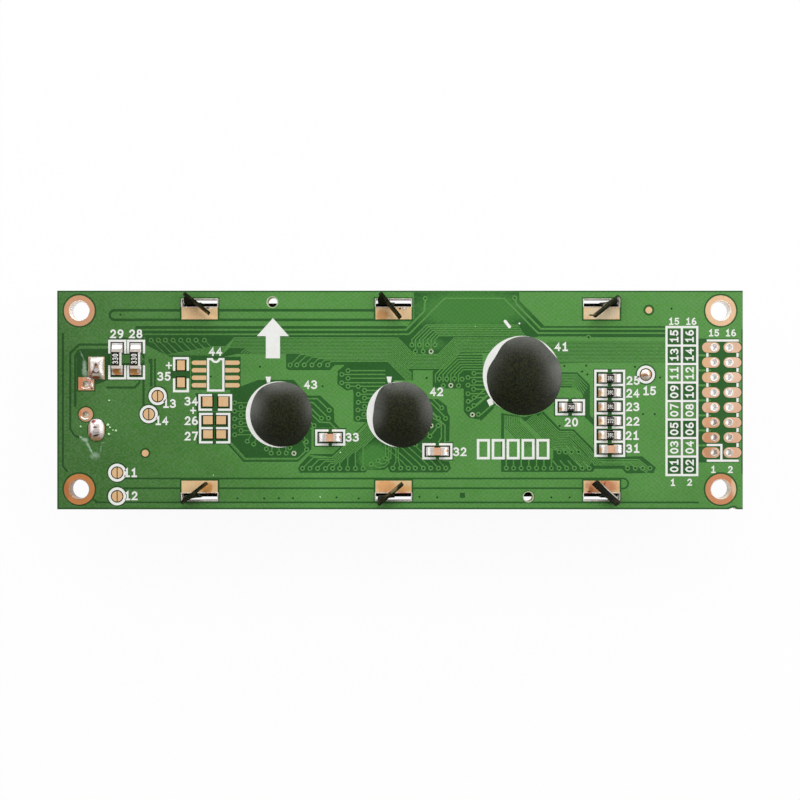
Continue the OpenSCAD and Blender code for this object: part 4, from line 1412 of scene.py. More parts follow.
def numeral_strokes() -> dict[str, list[list[Point]]]:
    """Pen strokes of the ten numerals and of a plus sign, in a unit box.

    Returns:
        For each sign, the middle lines of its strokes.
    """
    bowl = curve((0.5, 0.28), (0.5, 0.28), 0, 360, 15)
    cap = curve((0.5, 0.72), (0.5, 0.28), 0, 360, 15)
    return {
        "0": [curve((0.5, 0.5), (0.5, 0.5), 90, 450, 17)],
        "1": [[(0.15, 0.8), (0.55, 1.0), (0.55, 0.0)], [(0.1, 0.0), (1.0, 0.0)]],
        "2": [[*curve((0.48, 0.7), (0.46, 0.3), 165, -35), (0.0, 0.0), (1.0, 0.0)]],
        "3": [curve((0.42, 0.75), (0.48, 0.25), 150, -90),
              curve((0.42, 0.26), (0.56, 0.26), 90, -150)],
        "4": [[(0.72, 0.0), (0.72, 1.0), (0.0, 0.32), (1.0, 0.32)]],
        "5": [[(0.95, 1.0), (0.15, 1.0), (0.1, 0.56), *curve((0.45, 0.32), (0.53, 0.32), 105,
                                                               -150)]],
        "6": [bowl, curve((0.62, 0.3), (0.62, 0.7), 88, 180, 8)],
        "7": [[(0.0, 1.0), (1.0, 1.0), (0.4, 0.0)]],
        "8": [curve((0.5, 0.26), (0.5, 0.26), 90, 450, 15),
              curve((0.5, 0.76), (0.4, 0.24), -90, 270, 15)],
        "9": [cap, curve((0.38, 0.7), (0.62, 0.7), -92, 0, 8)],
        "+": [[(0.5, 0.05), (0.5, 0.95)], [(-0.15, 0.5), (1.15, 0.5)]],
    }


@dataclass
class Numerals:
    """Plain numbers, printed or marked on a flat face.

    Attributes:
        name: Name of the piece.
        surface: Height of the face.
        slot: Slot of the record that the ink belongs to.
        thick: Thickness of the ink.
        sunk: How far the ink's underside lies under the face.
        height: Height of a numeral.
        width: Width of a numeral.
        stroke: Width of a pen stroke.
        advance: Distance between neighbouring numerals.
    """

    name: str
    surface: float
    slot: str
    thick: float = 0.04
    sunk: float = 0.01
    height: float = 1.5
    width: float = 1.02
    stroke: float = 0.28
    advance: float = 1.22

    def __post_init__(self) -> None:
        """Makes the empty sheet and the table of strokes."""
        heights = {Layer.POUR: self.surface + self.thick}
        self.sheet = LayeredSheet(self.surface - self.sunk, heights, slope=0.0)
        self.strokes = numeral_strokes()

    def write(self, text: str, at: Point, scale: float = 1.0, turn: float = 0.0) -> None:
        """Writes a number.

        Args:
            text: Numerals and plus signs.
            at: Middle of the number.
            scale: Size against the class's own.
            turn: Angle in degrees, to the left.
        """
        span = (self.width - self.stroke, self.height - self.stroke)
        length = self.advance * (len(text) - 1)
        c, s = math.cos(math.radians(turn)), math.sin(math.radians(turn))
        for k, sign in enumerate(text):
            shift = self.advance * k - length / 2
            for stroke in self.strokes[sign]:
                p = (np.array(stroke) - 0.5) * span
                outline = ribbon(self.square_ends(p), self.stroke)
                outline = (outline + (shift, 0)) * scale
                outline = outline @ np.array([[c, s], [-s, c]]) + at
                self.sheet.draw(Layer.POUR, outline)

    def square_ends(self, path: np.ndarray) -> np.ndarray:
        """Lengthens a stroke by half its width at both ends.

        Args:
            path: Points of the stroke.

        Returns:
            The longer stroke.
        """
        path = path.copy()
        for end, beside in ((0, 1), (-1, -2)):
            run = path[end] - path[beside]
            path[end] += run / np.linalg.norm(run) * self.stroke * 0.45
        return path

    def build(self, material: Material) -> Piece:
        """Makes the piece from all that was written."""
        return make_piece(self.name, [self.sheet.shell()], [material], self.slot)


@dataclass
class BoardNumbers:
    """All the plain numbers printed on the component side.

    Attributes:
        top: Height of the board.
        cell: Pitch of the rows of the pin table.
    """

    top: float
    cell: float = 3.13

    def places(self) -> list[tuple[str, float, float]]:
        """Numbers beside the parts and their places.

        Returns:
            Each number with its x and y.
        """
        return [
            ("29", -47.9, 11.2), ("28", -44.7, 11.2), ("44", -31.2, 8.2),
            ("35", -39.9, 4.0), ("13", -39.0, -0.6), ("14", -40.3, -3.5),
            ("34", -35.3, -0.2), ("26", -35.3, -3.5), ("27", -35.3, -6.1),
            ("11", -45.6, -12.3), ("12", -45.5, -16.2), ("43", -15.1, 2.6),
            ("33", -8.05, -6.3), ("42", 6.2, 1.4), ("32", 10.15, -8.75),
            ("41", 27.3, 9.0), ("20", 29.0, -3.75), ("25", 39.45, 3.3),
            ("24", 39.4, 1.15), ("23", 39.4, -1.15), ("22", 39.4, -3.6),
            ("21", 39.3, -6.0), ("31", 39.4, -8.2), ("15", 42.2, 1.55),
        ]

    def build(self, finishes: dict[str, Material]) -> list[Piece]:
        """Writes the numbers, the table's pin numbers and the plain tick boxes.

        Args:
            finishes: The materials by name.

        Returns:
            The pieces.
        """
        board = Numerals("board_numbers", self.top, "legend_ink")
        for text, x, y in self.places():
            board.write(text, (x, y))
        for at in ((-39.1, 5.85), (-35.0, -1.77)):
            board.write("+", at, 0.85)
        for text, x, y in (("15", 46.35, 13.3), ("16", 49.25, 13.3), ("1", 46.15, -13.95),
                           ("2", 49.0, -13.9), ("15", 53.1, 11.35), ("16", 55.95, 11.35),
                           ("1", 53.0, -11.75), ("2", 55.9, -11.75)):
            board.write(text, (x, y), 0.8)
        for pin in range(16):
            at = (46.39 + 2.6 * (pin % 2), -12.7 + self.cell * (pin // 2 + 0.5))
            board.write(f"{pin + 1:02d}", at, 0.96, 90)
        for k in range(5):
            x = 14.1 + 2.52 * k
            board.sheet.draw(Layer.POUR, box(x - 1.1, -10.05, x + 1.1, -6.6))
            board.sheet.draw(Layer.CUT, box(x - 0.68, -9.63, x + 0.68, -7.02))
        coat, body = height_of("resistor_coats"), height_of("resistor_bodies")
        small = Numerals("resistor_numbers", coat, "resistor_glass", 0.012, height=0.72,
                         width=0.3, stroke=0.1, advance=0.36)
        for text, at in zip(("391", "391", "391", "272", "391", "750"), SMALL_CHIPS):
            small.write(text, at)
        large = Numerals("resistor_numbers_large", coat, "resistor_glass", 0.012,
                         sunk=coat - body - 0.02, height=0.98, width=0.46, stroke=0.15,
                         advance=0.6)
        for x in LARGE_CHIPS:
            large.write("330", (x - 0.13, LARGE_CHIP_ROW), 1.0, 90)
        marking = finishes["chip_marking"]
        return [board.build(finishes["ink"]), small.build(marking), large.build(marking)]


# ---------------------------------------------------------------- resin, solder, residue


@dataclass
class ResinCap:
    """Black resin over a bare chip, set as a smooth low dome.

    Attributes:
        side: Which cap it is: left, middle or right.
        at: Middle of the cap.
        reach: Half its length and half its height.
        swells: Swellings and dents of its outline, as angle, width and amount.
    """

    side: str
    at: Point
    reach: Point
    swells: list[tuple[float, float, float]]

    def build(self, finishes: dict[str, Material]) -> list[Piece]:
        """Makes the dome, z = rise (1 - s^2.4), with a rounded rim.

        Args:
            finishes: The materials by name.

        Returns:
            The piece, in the place of its CAD node.
        """
        node = f"resin_cap_{self.side}"
        top, foot = height_of(node), height_of("legend_chip_rings")
        share = np.cos(np.linspace(0, np.pi / 2, 22)[:-1])
        height = foot + (top - foot) * (1 - share**2.4)
        profile = [(0.985, foot - 0.02), *zip(share, height)]
        radii = oval(*self.reach, self.swells, 144)
        dome = mound(self.at, radii, profile)
        return [make_piece(f"resin_{self.side}", [dome], [finishes["resin"]], "chip_resin", [node])]


def streak(path: Path, width: Sequence[float], base: float, rise: float) -> Shell:
    """Thin smear along a path, thickest in its middle.

    Point (t, u) = path(t) + u * width(t) / 2 * normal(t), height = base + rise (1 - u^2).

    Args:
        path: Points of the smear's middle line.
        width: Full width at each point.
        base: Height of the face it lies on.
        rise: Thickness in the middle.

    Returns:
        The closed smear.
    """
    across = np.linspace(-1, 1, 7)
    half = np.asarray(width, float) / 2
    rows = [
        np.column_stack([offset_path(path, half * u), np.full(len(half), base + rise * (1 - u * u))])
        for u in across
    ]
    upper = np.stack(rows, 1)
    lower = upper.copy()
    lower[..., 2] = base - 0.01
    n, m = len(half), len(across)
    top = grid_faces(n, m)
    count = n * m
    left, right = np.arange(n) * m, np.arange(n) * m + m - 1
    start, end = np.arange(m), (n - 1) * m + np.arange(m)
    loop = np.concatenate([left[::-1], start[1:], right[1:], end[::-1][1:]])
    wall = np.stack([loop[:-1], loop[1:], loop[1:] + count, loop[:-1] + count], -1)
    points = np.vstack([upper.reshape(-1, 3), lower.reshape(-1, 3)])
    return Shell(points, [top[:, ::-1], top + count, wall])


@dataclass
class BacklightJoints:
    """Hand-soldered joints of the backlight pins, and what the iron left round them.

    Attributes:
        pad: Height of the bare copper.
        top: Height of the board.
        sides: Points round each joint.
    """

    pad: float
    top: float
    sides: int = 72

    def outline(self, rx: float, ry: float, waist: float, power: float) -> np.ndarray:
        """Radius of a rounded rectangle with a waist, r = (|cos/rx|^p + |sin/ry|^p)^(-1/p).

        Args:
            rx: Half length.
            ry: Half height.
            waist: How far the sides draw in.
            power: How square its corners are.

        Returns:
            The radii at even angles.
        """
        angle = np.linspace(0, 2 * np.pi, self.sides, endpoint=False)
        r = (np.abs(np.cos(angle) / rx) ** power + np.abs(np.sin(angle) / ry) ** power)
        return r ** (-1 / power) * (1 - waist * np.cos(angle) ** 2)

    def joint(
        self, at: Point, reach: Point, waist: float, top: float, lean: Point, power: float
    ) -> Shell:
        """One heap of solder, steep at its foot and rounded at its top.

        Args:
            at: Middle of the pad.
            reach: Half length and half height of the pad.
            waist: How far the sides draw in.
            top: Height of the heap.
            lean: Offset of its top from the middle of the pad.
            power: How square its corners are, 2 for an oval.

        Returns:
            The heap.
        """
        share = np.cos(np.linspace(0, np.pi / 2, 13)[:-1])
        rise = (1 - share**2.0) ** 0.8
        profile = [(1.0, self.pad - 0.02), *zip(share, self.pad + 0.03 + (top - self.pad) * rise)]
        return mound(at, self.outline(*reach, waist, power), profile, lean)

    def build(self, finishes: dict[str, Material]) -> list[Piece]:
        """Makes both joints, their dark marks, the wire joints and the residue.

        Args:
            finishes: The materials by name.

        Returns:
            The pieces.
        """
        made = []
        for side, at, reach, waist, lean, power in (
            ("anode", (-51.35, 5.4), (1.36, 1.9), 0.07, (0.05, 0.25), 9.0),
            ("cathode", (-51.35, -5.05), (1.3, 1.87), 0.0, (0.0, 0.3), 2.7),
        ):
            name, node = f"solder_{side}", f"backlight_solder_{side}"
            heap = self.joint(at, reach, waist, height_of(node), lean, power)
            made.append(make_piece(name, [heap], [finishes[name]], "solder", [node]))
        for name, shells, finish, slot in (
            ("solder_wire_pads", self.wires(), "solder_wires", "solder"),
            ("flux_film", self.films(), "flux_pale", "board_laminate"),
            ("solder_specks", self.specks(), "speck", "solder"),
        ):
            made.append(make_piece(name, shells, [finishes[finish]], slot))
        return made

    def wires(self) -> list[Shell]:
        """Solder that ran over the wire pads, and the bridge to the anode's joint.

        Returns:
            The smears and the plugs of both holes.
        """
        low = self.pad
        return [
            streak([(-52.1, 1.85), (-52.15, 2.5), (-52.4, 3.3), (-52.35, 4.0)],
                   [0.3, 0.5, 0.45, 0.3], low, 0.16),
            streak([(-53.9, 2.2), (-53.6, 1.95), (-53.1, 1.88), (-52.5, 2.1)],
                   [0.1, 0.22, 0.25, 0.2], low, 0.08),
            streak([(-53.2, 3.66), (-52.8, 3.66), (-52.3, 3.6)], [0.1, 0.25, 0.3], low, 0.1),
            streak([(-54.0, -2.75), (-53.7, -3.15), (-53.2, -3.3), (-52.7, -3.1)],
                   [0.15, 0.38, 0.36, 0.15], low, 0.12),
            *[mound((-53.15, y), np.full(28, 0.54),
                    [(1.0, self.top - 0.5), (1.0, self.top - 0.05), (0.7, self.top - 0.11),
                     (0.3, self.top - 0.14)]) for y in (2.72, -2.45)],
        ]

    def films(self) -> list[Shell]:
        """Thin sheets under the clouds of dried flux.

        Returns:
            The sheets.
        """
        lift = self.top + 0.045
        return [
            streak([(-53.3, 3.7), (-53.4, 5.2), (-53.5, 6.8), (-53.8, 8.4)],
                   [1.8, 1.9, 1.8, 1.2], lift, 0.006),
            streak([(-54.6, -6.0), (-53.4, -6.8), (-52.6, -7.9), (-51.9, -9.2), (-51.3, -10.2)],
                   [1.0, 2.0, 1.6, 2.2, 2.2], lift, 0.006),
            streak([(-50.5, -8.9), (-50.6, -7.9), (-50.3, -7.0)], [0.9, 0.8, 0.9], lift, 0.006),
        ]

    def specks(self) -> list[Shell]:
        """Solder balls under the mask, greenish and of many sizes.

        Returns:
            The balls.
        """
        places = [
            (-49.2, -0.12, 0.17), (-49.4, -4.23, 0.24), (-49.06, -4.65, 0.17),
            (-48.03, -5.2, 0.21), (-49.22, -5.8, 0.22), (-48.57, -5.1, 0.13),
            (-54.0, -4.53, 0.16), (-31.6, -12.75, 0.12), (-13.5, -16.45, 0.14),
            (-10.1, -8.9, 0.14), (12.75, 12.4, 0.1),
        ]
        return [
            mound((x, y), np.full(14, r),
                  [(0.8, self.top), (1.0, self.top + r * 0.4), (0.85, self.top + r * 0.7),
                   (0.45, self.top + r * 0.88)])
            for x, y, r in places
        ]


@dataclass
class PlatedHoles:
    """Tinned walls of the header holes, the mounting holes and the tab slots.

    Attributes:
        low: Height of the copper on the display side.
        high: Height of the copper on the component side.
    """

    low: float
    high: float

    def section(self, hole: float, wall: float, rim: float) -> list[Point]:
        """Section of a plated wall with a thin rim over the pads on both faces.

        Args:
            hole: Distance of the bare hole's wall.
            wall: Thickness of the plating.
            rim: Distance of the rim's outer edge.

        Returns:
            Its corners.
        """
        lip = 0.012
        inner, back = hole - wall, hole + 0.004
        return [
            (inner, self.low + 0.02), (inner, self.high - 0.02),
            (inner + 0.02, self.high + lip), (rim - 0.03, self.high + lip),
            (rim, self.high - 0.01), (back, self.high - 0.01),
            (back, self.low + 0.01), (rim, self.low + 0.01),
            (rim - 0.03, self.low - lip), (inner + 0.02, self.low - lip),
        ]

    def round(self, at: Point, hole: float, rim: float, sides: int) -> Shell:
        """Plating of one round hole.

        Args:
            at: Its middle.
            hole: Radius of the bare hole.
            rim: Radius of the rim.
            sides: Corners of the circle.

        Returns:
            The plating.
        """
        spokes = disc((0.0, 0.0), 1.0, sides)
        base = np.broadcast_to(at, spokes.shape)
        return swept_ring(base, spokes, self.section(hole, 0.03, rim))

    def slot(self, x: float, side: int) -> Shell:
        """Plating of one tab slot.

        Args:
            x: Its middle.
            side: 1 above and -1 below the middle of the board.

        Returns:
            The plating.
        """
        corners = np.array([(-1, -1), (1, -1), (1, 1), (-1, 1)], float)
        base = corners * (3.05, 0.65) + (x, side * 16.4)
        return swept_ring(base, corners, self.section(0.0, 0.05, 0.1))

    def build(self, finishes: dict[str, Material]) -> list[Piece]:
        """Makes the plating of all of them.

        Args:
            finishes: The materials by name.

        Returns:
            The pieces.
        """
        small = [self.round((x, y), 0.5, 0.7, 24) for x in HEADER_COLUMNS for y in HEADER_ROWS]
        large = [self.round(at, 1.65, 1.76, 64) for at in MOUNTING_HOLES]
        slots = [self.slot(x, side) for x, side in TAB_SLOTS]
        return [
            make_piece("header_hole_plating", small, [finishes["plated_hole"]], "solder"),
            make_piece("mounting_hole_plating", large, [finishes["plated_mount"]], "bare_copper"),
            make_piece("slot_plating", slots, [finishes["plated_slot"]], "solder"),
        ]


# ---------------------------------------------------------------- finishes of the part


FINISHES: dict[str, Surface] = {
    "mask_pour": SolderMask("solder_mask_over_copper", "376A22", "54963F", 0.17),
    "mask_bare": SolderMask("solder_mask_over_laminate", "1B4A12", "255F21", 0.04, (
        ("458538", 12.0, 15.4, 11.5, 4.2, 0), ("458538", -4.6, -9.6, 3.2, 2.6, 30),
        ("3A7730", 5.0, 9.4, 3.5, 1.2, 0),
    )),
    # bare resin in a mask opening, nearly black with painted shade, and dull
    "mask_open_shade": Finish("laminate_with_painted_shade_in_mask_opening", "0A1404", "101C08", 1.0, 0.7, ior=1.2),
    # the dark mouth of a via
    "via_hole": Finish("via_barrel_shadow", "0E220C", "163414", 0.5, 0.6, ior=1.2),
    "tin": HandSolder("hot_levelled_tin", "DCE6C8", "B9C79A"),
    "laminate": Laminate("glass_epoxy_board", "3C7A38", "D9D6B0"),
    # the pale line on the lower right tab and the olive lines on the lower middle and upper right
    # tabs are painted highlights along their edges
    "bezel": PaintedSteel("black_baked_steel", "1C210A", "4A4528", (
        ("CFC8C2", 35.3, -15.45, 2.6, 0.13, -43), ("6E6A4C", -1.0, -15.1, 0.9, 0.3, 40),
        ("6E6A58", 34.0, 15.7, 1.6, 0.12, 41), ("8A867C", 36.6, 17.0, 0.3, 0.3, 0),
        ("5E5634", -32.5, 14.55, 0.4, 0.3, 0), ("5E5634", 32.4, 14.5, 0.5, 0.3, 0),
    )),
    "polarizer": DotMatrixFilm("stn_polarizer_film", "A3AB62", "6E7845"),
    # clear and hard, with sharp reflections
    "glass": Finish("float_glass", "DDE8DD", "D4E2D6", 8.0, 0.08, 0.03, ior=1.52, transmission=0.85,
        grain_depth_mm=0.0005),
    # amber glue, slightly cloudy
    "seal": Finish("port_seal_adhesive", "E3DCC0", "CFC39C", 0.8, 0.3, softness=0.3),
    # striped by its conducting layers
    "zebra": Finish("zebra_silicone_rubber", "C9B8B4", "4A4546", 0.4, 0.6, stretch=(12, 0.2, 0.2)),
    # milky and satin
    "moulding": Finish("white_moulded_abs", "E6E4DC", "DCD9CE", 5.0, 0.45, grain_depth_mm=0.004,
        ior=1.53, softness=0.1),
    # clear, brighter at its edges
    "guide": Finish("moulded_acrylic_guide", "EDF1EC", "E2E9E4", 6.0, 0.15, 0.05, ior=1.49,
        transmission=0.6),
    # matt and even
    "diffuser": Finish("matt_diffuser_film", "F0EFEA", "E6E5DF", 4.0, 0.7),
    # silvery and soft
    "reflector": Finish("silvered_reflector_film", "E8EAEA", "DADDDD", 4.0, 0.25, metallic=0.6),
    # white and satin
    "lamp_board": Finish("white_masked_lamp_board", "E9E9E2", "DCDCD2", 2.0, 0.5),
    # yellow gel that swallows light
    "lamp": Finish("phosphor_lamp_gel", "E8D870", "D9C450", 0.6, 0.3, softness=0.3),
    # pale grey metal
    "pin": Finish("tinned_steel_pin", "E6E0DC", "D2C6C2", 0.6, 0.3, metallic=0.35),
    "solder_anode": HandSolder("hand_solder_waxed_over", "D6CFC9", "BEB0AA", (
        ("BCA698", -52.45, 5.7, 0.34, 1.9, 0), ("A8968C", -51.2, 5.4, 0.5, 1.0, 0),
        ("A97468", -52.25, 4.3, 0.5, 0.95, -24), ("C9A27E", -51.1, 5.1, 0.2, 0.9, 0),
        ("7E3E38", -51.2, 5.95, 0.26, 0.34, 0), ("80502E", -51.35, 4.75, 0.8, 0.26, 0),
        # the cream band low on this joint is a painted highlight
        ("96602C", -51.3, 3.8, 0.95, 0.34, 0), ("FFF6D2", -51.35, 4.28, 0.75, 0.15, 0),
        ("E8DCB8", -50.3, 3.9, 0.22, 0.35, 0),
    )),
    "solder_cathode": HandSolder("hand_solder_bright", "E6DCDA", "D6CAC6", (
        ("C9ACB0", -52.5, -5.0, 0.34, 1.8, 0), ("DDB088", -51.3, -6.75, 1.4, 0.85, 0),
        ("D58A55", -51.4, -7.05, 1.1, 0.22, 0), ("AE7062", -52.3, -6.0, 0.36, 0.7, -20),
        ("8A3C40", -51.65, -3.62, 0.5, 0.34, 0), ("74503E", -51.3, -4.58, 0.42, 0.18, 0),
        ("46260F", -51.25, -5.97, 0.62, 0.2, 14), ("D8B8AC", -51.0, -5.3, 0.3, 0.4, 0),
    )),
    "solder_wires": HandSolder("wire_solder", "F6F1EC", "DCCFC8", (
        # grey discs over the two wire holes and olive strips on their left sides: painted shade of
        # the open holes, on the plugs
        ("D6CCC6", -53.1, 2.72, 0.62, 0.62, 0), ("D2C2B4", -53.15, -2.45, 0.6, 0.6, 0),
        ("8E9272", -53.5, 2.72, 0.2, 0.5, 0), ("9A9878", -53.5, -2.45, 0.2, 0.5, 0),
        ("B98880", -52.3, 3.1, 0.3, 0.55, 0), ("B98880", -52.2, 1.9, 0.3, 0.25, 0),
    )),
    "plated_hole": HandSolder("tinned_hole_wall", "FFFCF8", "F6ECE6", (
        ("D6C4B4", 53.3, -6.6, 1.6, 4.6, 0), ("E6DACE", 55.8, -6.6, 1.6, 4.0, 0),
    ), 0.35),
    "plated_mount": HandSolder("tinned_mounting_hole_wall", "FFF8F2", "F6EAE0", (
        ("AC9484", -54.25, -15.1, 2.8, 2.8, 0), ("E2D2C0", 54.25, -15.1, 2.8, 2.8, 0),
    ), 0.35),
    "plated_slot": HandSolder("tinned_slot_edge", "EFE8DC", "DCCFC0", (
        ("B8505A", 0.7, -15.8, 1.8, 0.16, 0), ("C0606A", 31.9, -15.8, 1.0, 0.16, 0),
        ("9A5A5A", -32.0, -15.8, 1.4, 0.14, 0),
    ), 0.4),
    "solder_bright": HandSolder("bridged_jumper_solder", "F2E4DA", "DDBEA8", (
        ("B98A68", 41.05, 4.2, 1.2, 0.3, 0), ("A87858", 42.3, 4.4, 0.25, 0.5, 0),
        # the near-white spot at the top of the jumper is a painted highlight
        ("FFF8F0", 41.4, 5.0, 0.6, 0.4, 0),
    )),
    "solder_chip": HandSolder("reflowed_solder", "F6F3F2", "E0D6D2", (
        ("D9924E", -47.75, 4.8, 1.1, 0.8, 0), ("DE9F5C", -44.85, 4.8, 1.1, 0.8, 0),
        # near-white spots on the lower solder of the two large chips: painted highlights
        *(("FFF6E6", x, 4.9, 0.32, 0.36, 0) for x in (-47.2, -44.2)),
        *(("DFB282", 33.75, 3.5 - 2.4 * row, 0.6, 0.75, 0) for row in range(6)),
        *(("F3DDBC", 34.1, 3.3 - 2.4 * row, 0.4, 0.25, 0) for row in range(5)),
        ("D9AA6C", 27.05, -1.5, 0.45, 0.4, 0), ("C98A58", -10.2, -6.3, 0.25, 0.3, 0),
        ("CF9A6C", 7.95, -8.6, 0.3, 0.35, 20),
    ), 0.26),
    "resin": ResinFinish("baked_black_epoxy", "0D1204", "282D12"),
    # white, dry and fine-grained
    "alumina": Finish("fired_alumina", "EDEBE6", "DEDBD4", 0.6, 0.55),
    # dark glass with small highlights
    "resistor": Finish("resistor_overglaze", "14120A", "201D14", 0.5, 0.32, ior=1.3),
    # warm white metal
    "plating": Finish("tin_plated_terminal", "F4EEE6", "DCCBBB", 0.4, 0.3, metallic=0.3),
    # pinkish tan and dull
    "ceramic": Finish("capacitor_ceramic", "E4B594", "D6A07C", 0.8, 0.5),
    # marks at the mounting holes are painted reflections: lighter at the upper right, darker at the
    # other three,
    # with a painted highlight on the lower right ring's right side and painted shade on the lower
    # left ring's left side; the last two make the wire pads more orange on their left
    "copper_ring": BareCopper("bare_copper_ring", "E2AE84", "CF8E62", 0.5, (
        ("F3CBA2", 54.25, 15.1, 4.0, 4.0, 0), ("DB9468", 54.25, -15.1, 4.0, 4.0, 0),
        ("EFC9A4", 56.6, -14.6, 0.7, 2.4, 0), ("D0874A", -54.25, -15.1, 4.0, 4.0, 0),
        ("DCA47C", -54.25, 15.1, 4.0, 4.0, 0), ("C07844", -56.5, -15.5, 0.7, 2.2, 0),
        ("D98C64", -54.0, 2.7, 0.6, 1.3, 0), ("D98C64", -54.2, -2.4, 0.5, 1.3, 0),
    )),
    # the broad pale patch on the upper right tab pad is a painted reflection
    "copper_pad": BareCopper("bare_copper_pad", "FCD8A4", "EEBE8A", 0.42, (
        ("FFEAC4", 34.4, 14.7, 3.6, 1.3, 0), ("FAD6A6", 1.3, 14.6, 1.6, 1.0, 0),
        ("DE9F58", -32.7, -14.9, 1.3, 1.1, 30), ("F6B87A", -2.4, -14.6, 1.9, 1.3, 0),
        ("FFC27E", 0.9, -15.2, 1.8, 0.9, 0), ("D8946A", 34.1, -14.7, 3.4, 1.6, 0),
        ("B87648", 32.3, -15.2, 0.5, 0.7, 0), ("E2AA70", -3.0, 14.3, 1.3, 1.1, 0),
        ("40341C", 0.0, 15.45, 0.24, 0.2, 0), ("5A4A30", 0.75, 15.5, 0.4, 0.34, 0),
        ("FAF7F0", 0.76, 15.5, 0.3, 0.25, 0), ("3A3018", -32.5, 15.6, 0.45, 0.2, 0),
        ("FAF7F0", -32.0, 15.55, 0.35, 0.16, 0), ("FAF4EA", 33.0, 14.05, 0.45, 0.2, 0),
        ("5C5A28", 32.35, 14.35, 0.5, 0.2, 0), ("63402C", 32.0, -15.5, 0.35, 0.16, 0),
        ("A85A40", 34.6, -14.2, 0.6, 0.16, 70), ("F2D8B4", 1.5, -15.5, 0.9, 0.16, 5),
    )),
    "copper_header": BareCopper("bare_copper_header_pad", "F0C3A2", "E2AA84", 0.4, (
        ("E6AC80", 52.6, -5.0, 1.6, 4.6, 0), ("D99C72", 52.2, -7.6, 1.3, 3.2, 0),
        ("EEBF92", 51.9, 5.2, 0.9, 5.0, 0), ("F4CDB0", 56.2, 4.4, 1.8, 6.5, 0),
        ("EDBC9A", 56.6, -6.4, 0.9, 3.6, 0),
    )),
    "copper_pale": BareCopper("bare_copper_spare_pad", "F5CE9C", "E9B47A", 0.4),
    # opaque white, slightly raised and rough
    "ink": Finish("white_epoxy_ink", "F4F4F0", "EAEBE6", 1.5, 0.5, grain_depth_mm=0.004),
    # thin white print
    "chip_marking": Finish("chip_marking_ink", "F0F0EA", "E2E2DA", 0.4, 0.5),
    "flux_pale": FluxFilm("dried_rosin_flux", (
        (0.75, -53.3, 4.7, 0.6, 1.0, 8), (0.5, -53.4, 5.9, 0.45, 1.2, 5),
        (0.35, -53.8, 7.6, 0.16, 0.9, 25), (0.8, -54.0, -6.3, 0.35, 0.25, -20),
        (0.9, -53.3, -6.7, 0.75, 0.42, -15), (0.65, -52.75, -7.6, 0.28, 0.9, 30),
        (0.7, -52.3, -8.5, 0.24, 0.8, 28), (0.5, -51.6, -9.4, 1.0, 0.7, 0),
        (0.3, -50.6, -8.3, 0.16, 0.8, -8), (0.4, -50.3, -7.25, 0.4, 0.14, 25),
    )),
    # small balls with green mask over them
    "speck": Finish("solder_ball_under_mask", "A9D89A", "C9EBBB", 0.3, 0.25),
}

WORN_BY: dict[str, tuple[str, ...]] = {
    "laminate": ("circuit_board",),
    "bezel": ("bezel",),
    "polarizer": ("front_polarizer",),
    "glass": ("front_glass", "rear_glass"),
    "diffuser": ("rear_polarizer", "diffuser_film"),
    "seal": ("fill_port_seal",),
    "zebra": ("zebra_strip_upper", "zebra_strip_lower"),
    "moulding": ("backlight_frame",),
    "guide": ("light_guide",),
    "reflector": ("reflector_film",),
    "lamp_board": ("led_board",),
    "lamp": ("led_chips",),
    "pin": ("backlight_pin_anode", "backlight_pin_cathode"),
    "solder_anode": ("backlight_solder_anode",),
    "solder_cathode": ("backlight_solder_cathode",),
    "resin": ("resin_cap_left", "resin_cap_middle", "resin_cap_right"),
    "alumina": ("resistor_bodies",),
    "resistor": ("resistor_coats",),
    "plating": ("resistor_terminals", "capacitor_terminals"),
    "ceramic": ("capacitor_bodies",),
    "solder_chip": ("chip_lands", "chip_solder"),
    "copper_ring": ("mounting_rings", "wire_pads"),
    "copper_header": ("header_pads",),
    "copper_pad": ("tab_pads", "backlight_lands"),
    "copper_pale": ("spare_ic_pads", "spare_part_pads", "jumper_pads", "test_pads"),
    "solder_bright": ("jumper_bridge",),
}


def dress(nodes: dict[str, Piece], finishes: dict[str, Material]) -> None:
    """Puts a finish on every CAD node; the legend's nodes get the printing ink.

    Args:
        nodes: The frame's nodes by name.
        finishes: The materials.
    """
    worn = {name: key for key, names in WORN_BY.items() for name in names}
    for name, node in nodes.items():
        node.data.materials.clear()
        node.data.materials.append(finishes[worn.get(name, "ink")])
        faces = node.data.polygons
        faces.foreach_set("material_index", np.zeros(len(faces), np.int32))
    LOG.info("dressed %d CAD nodes", len(nodes))


# ---------------------------------------------------------------- studio


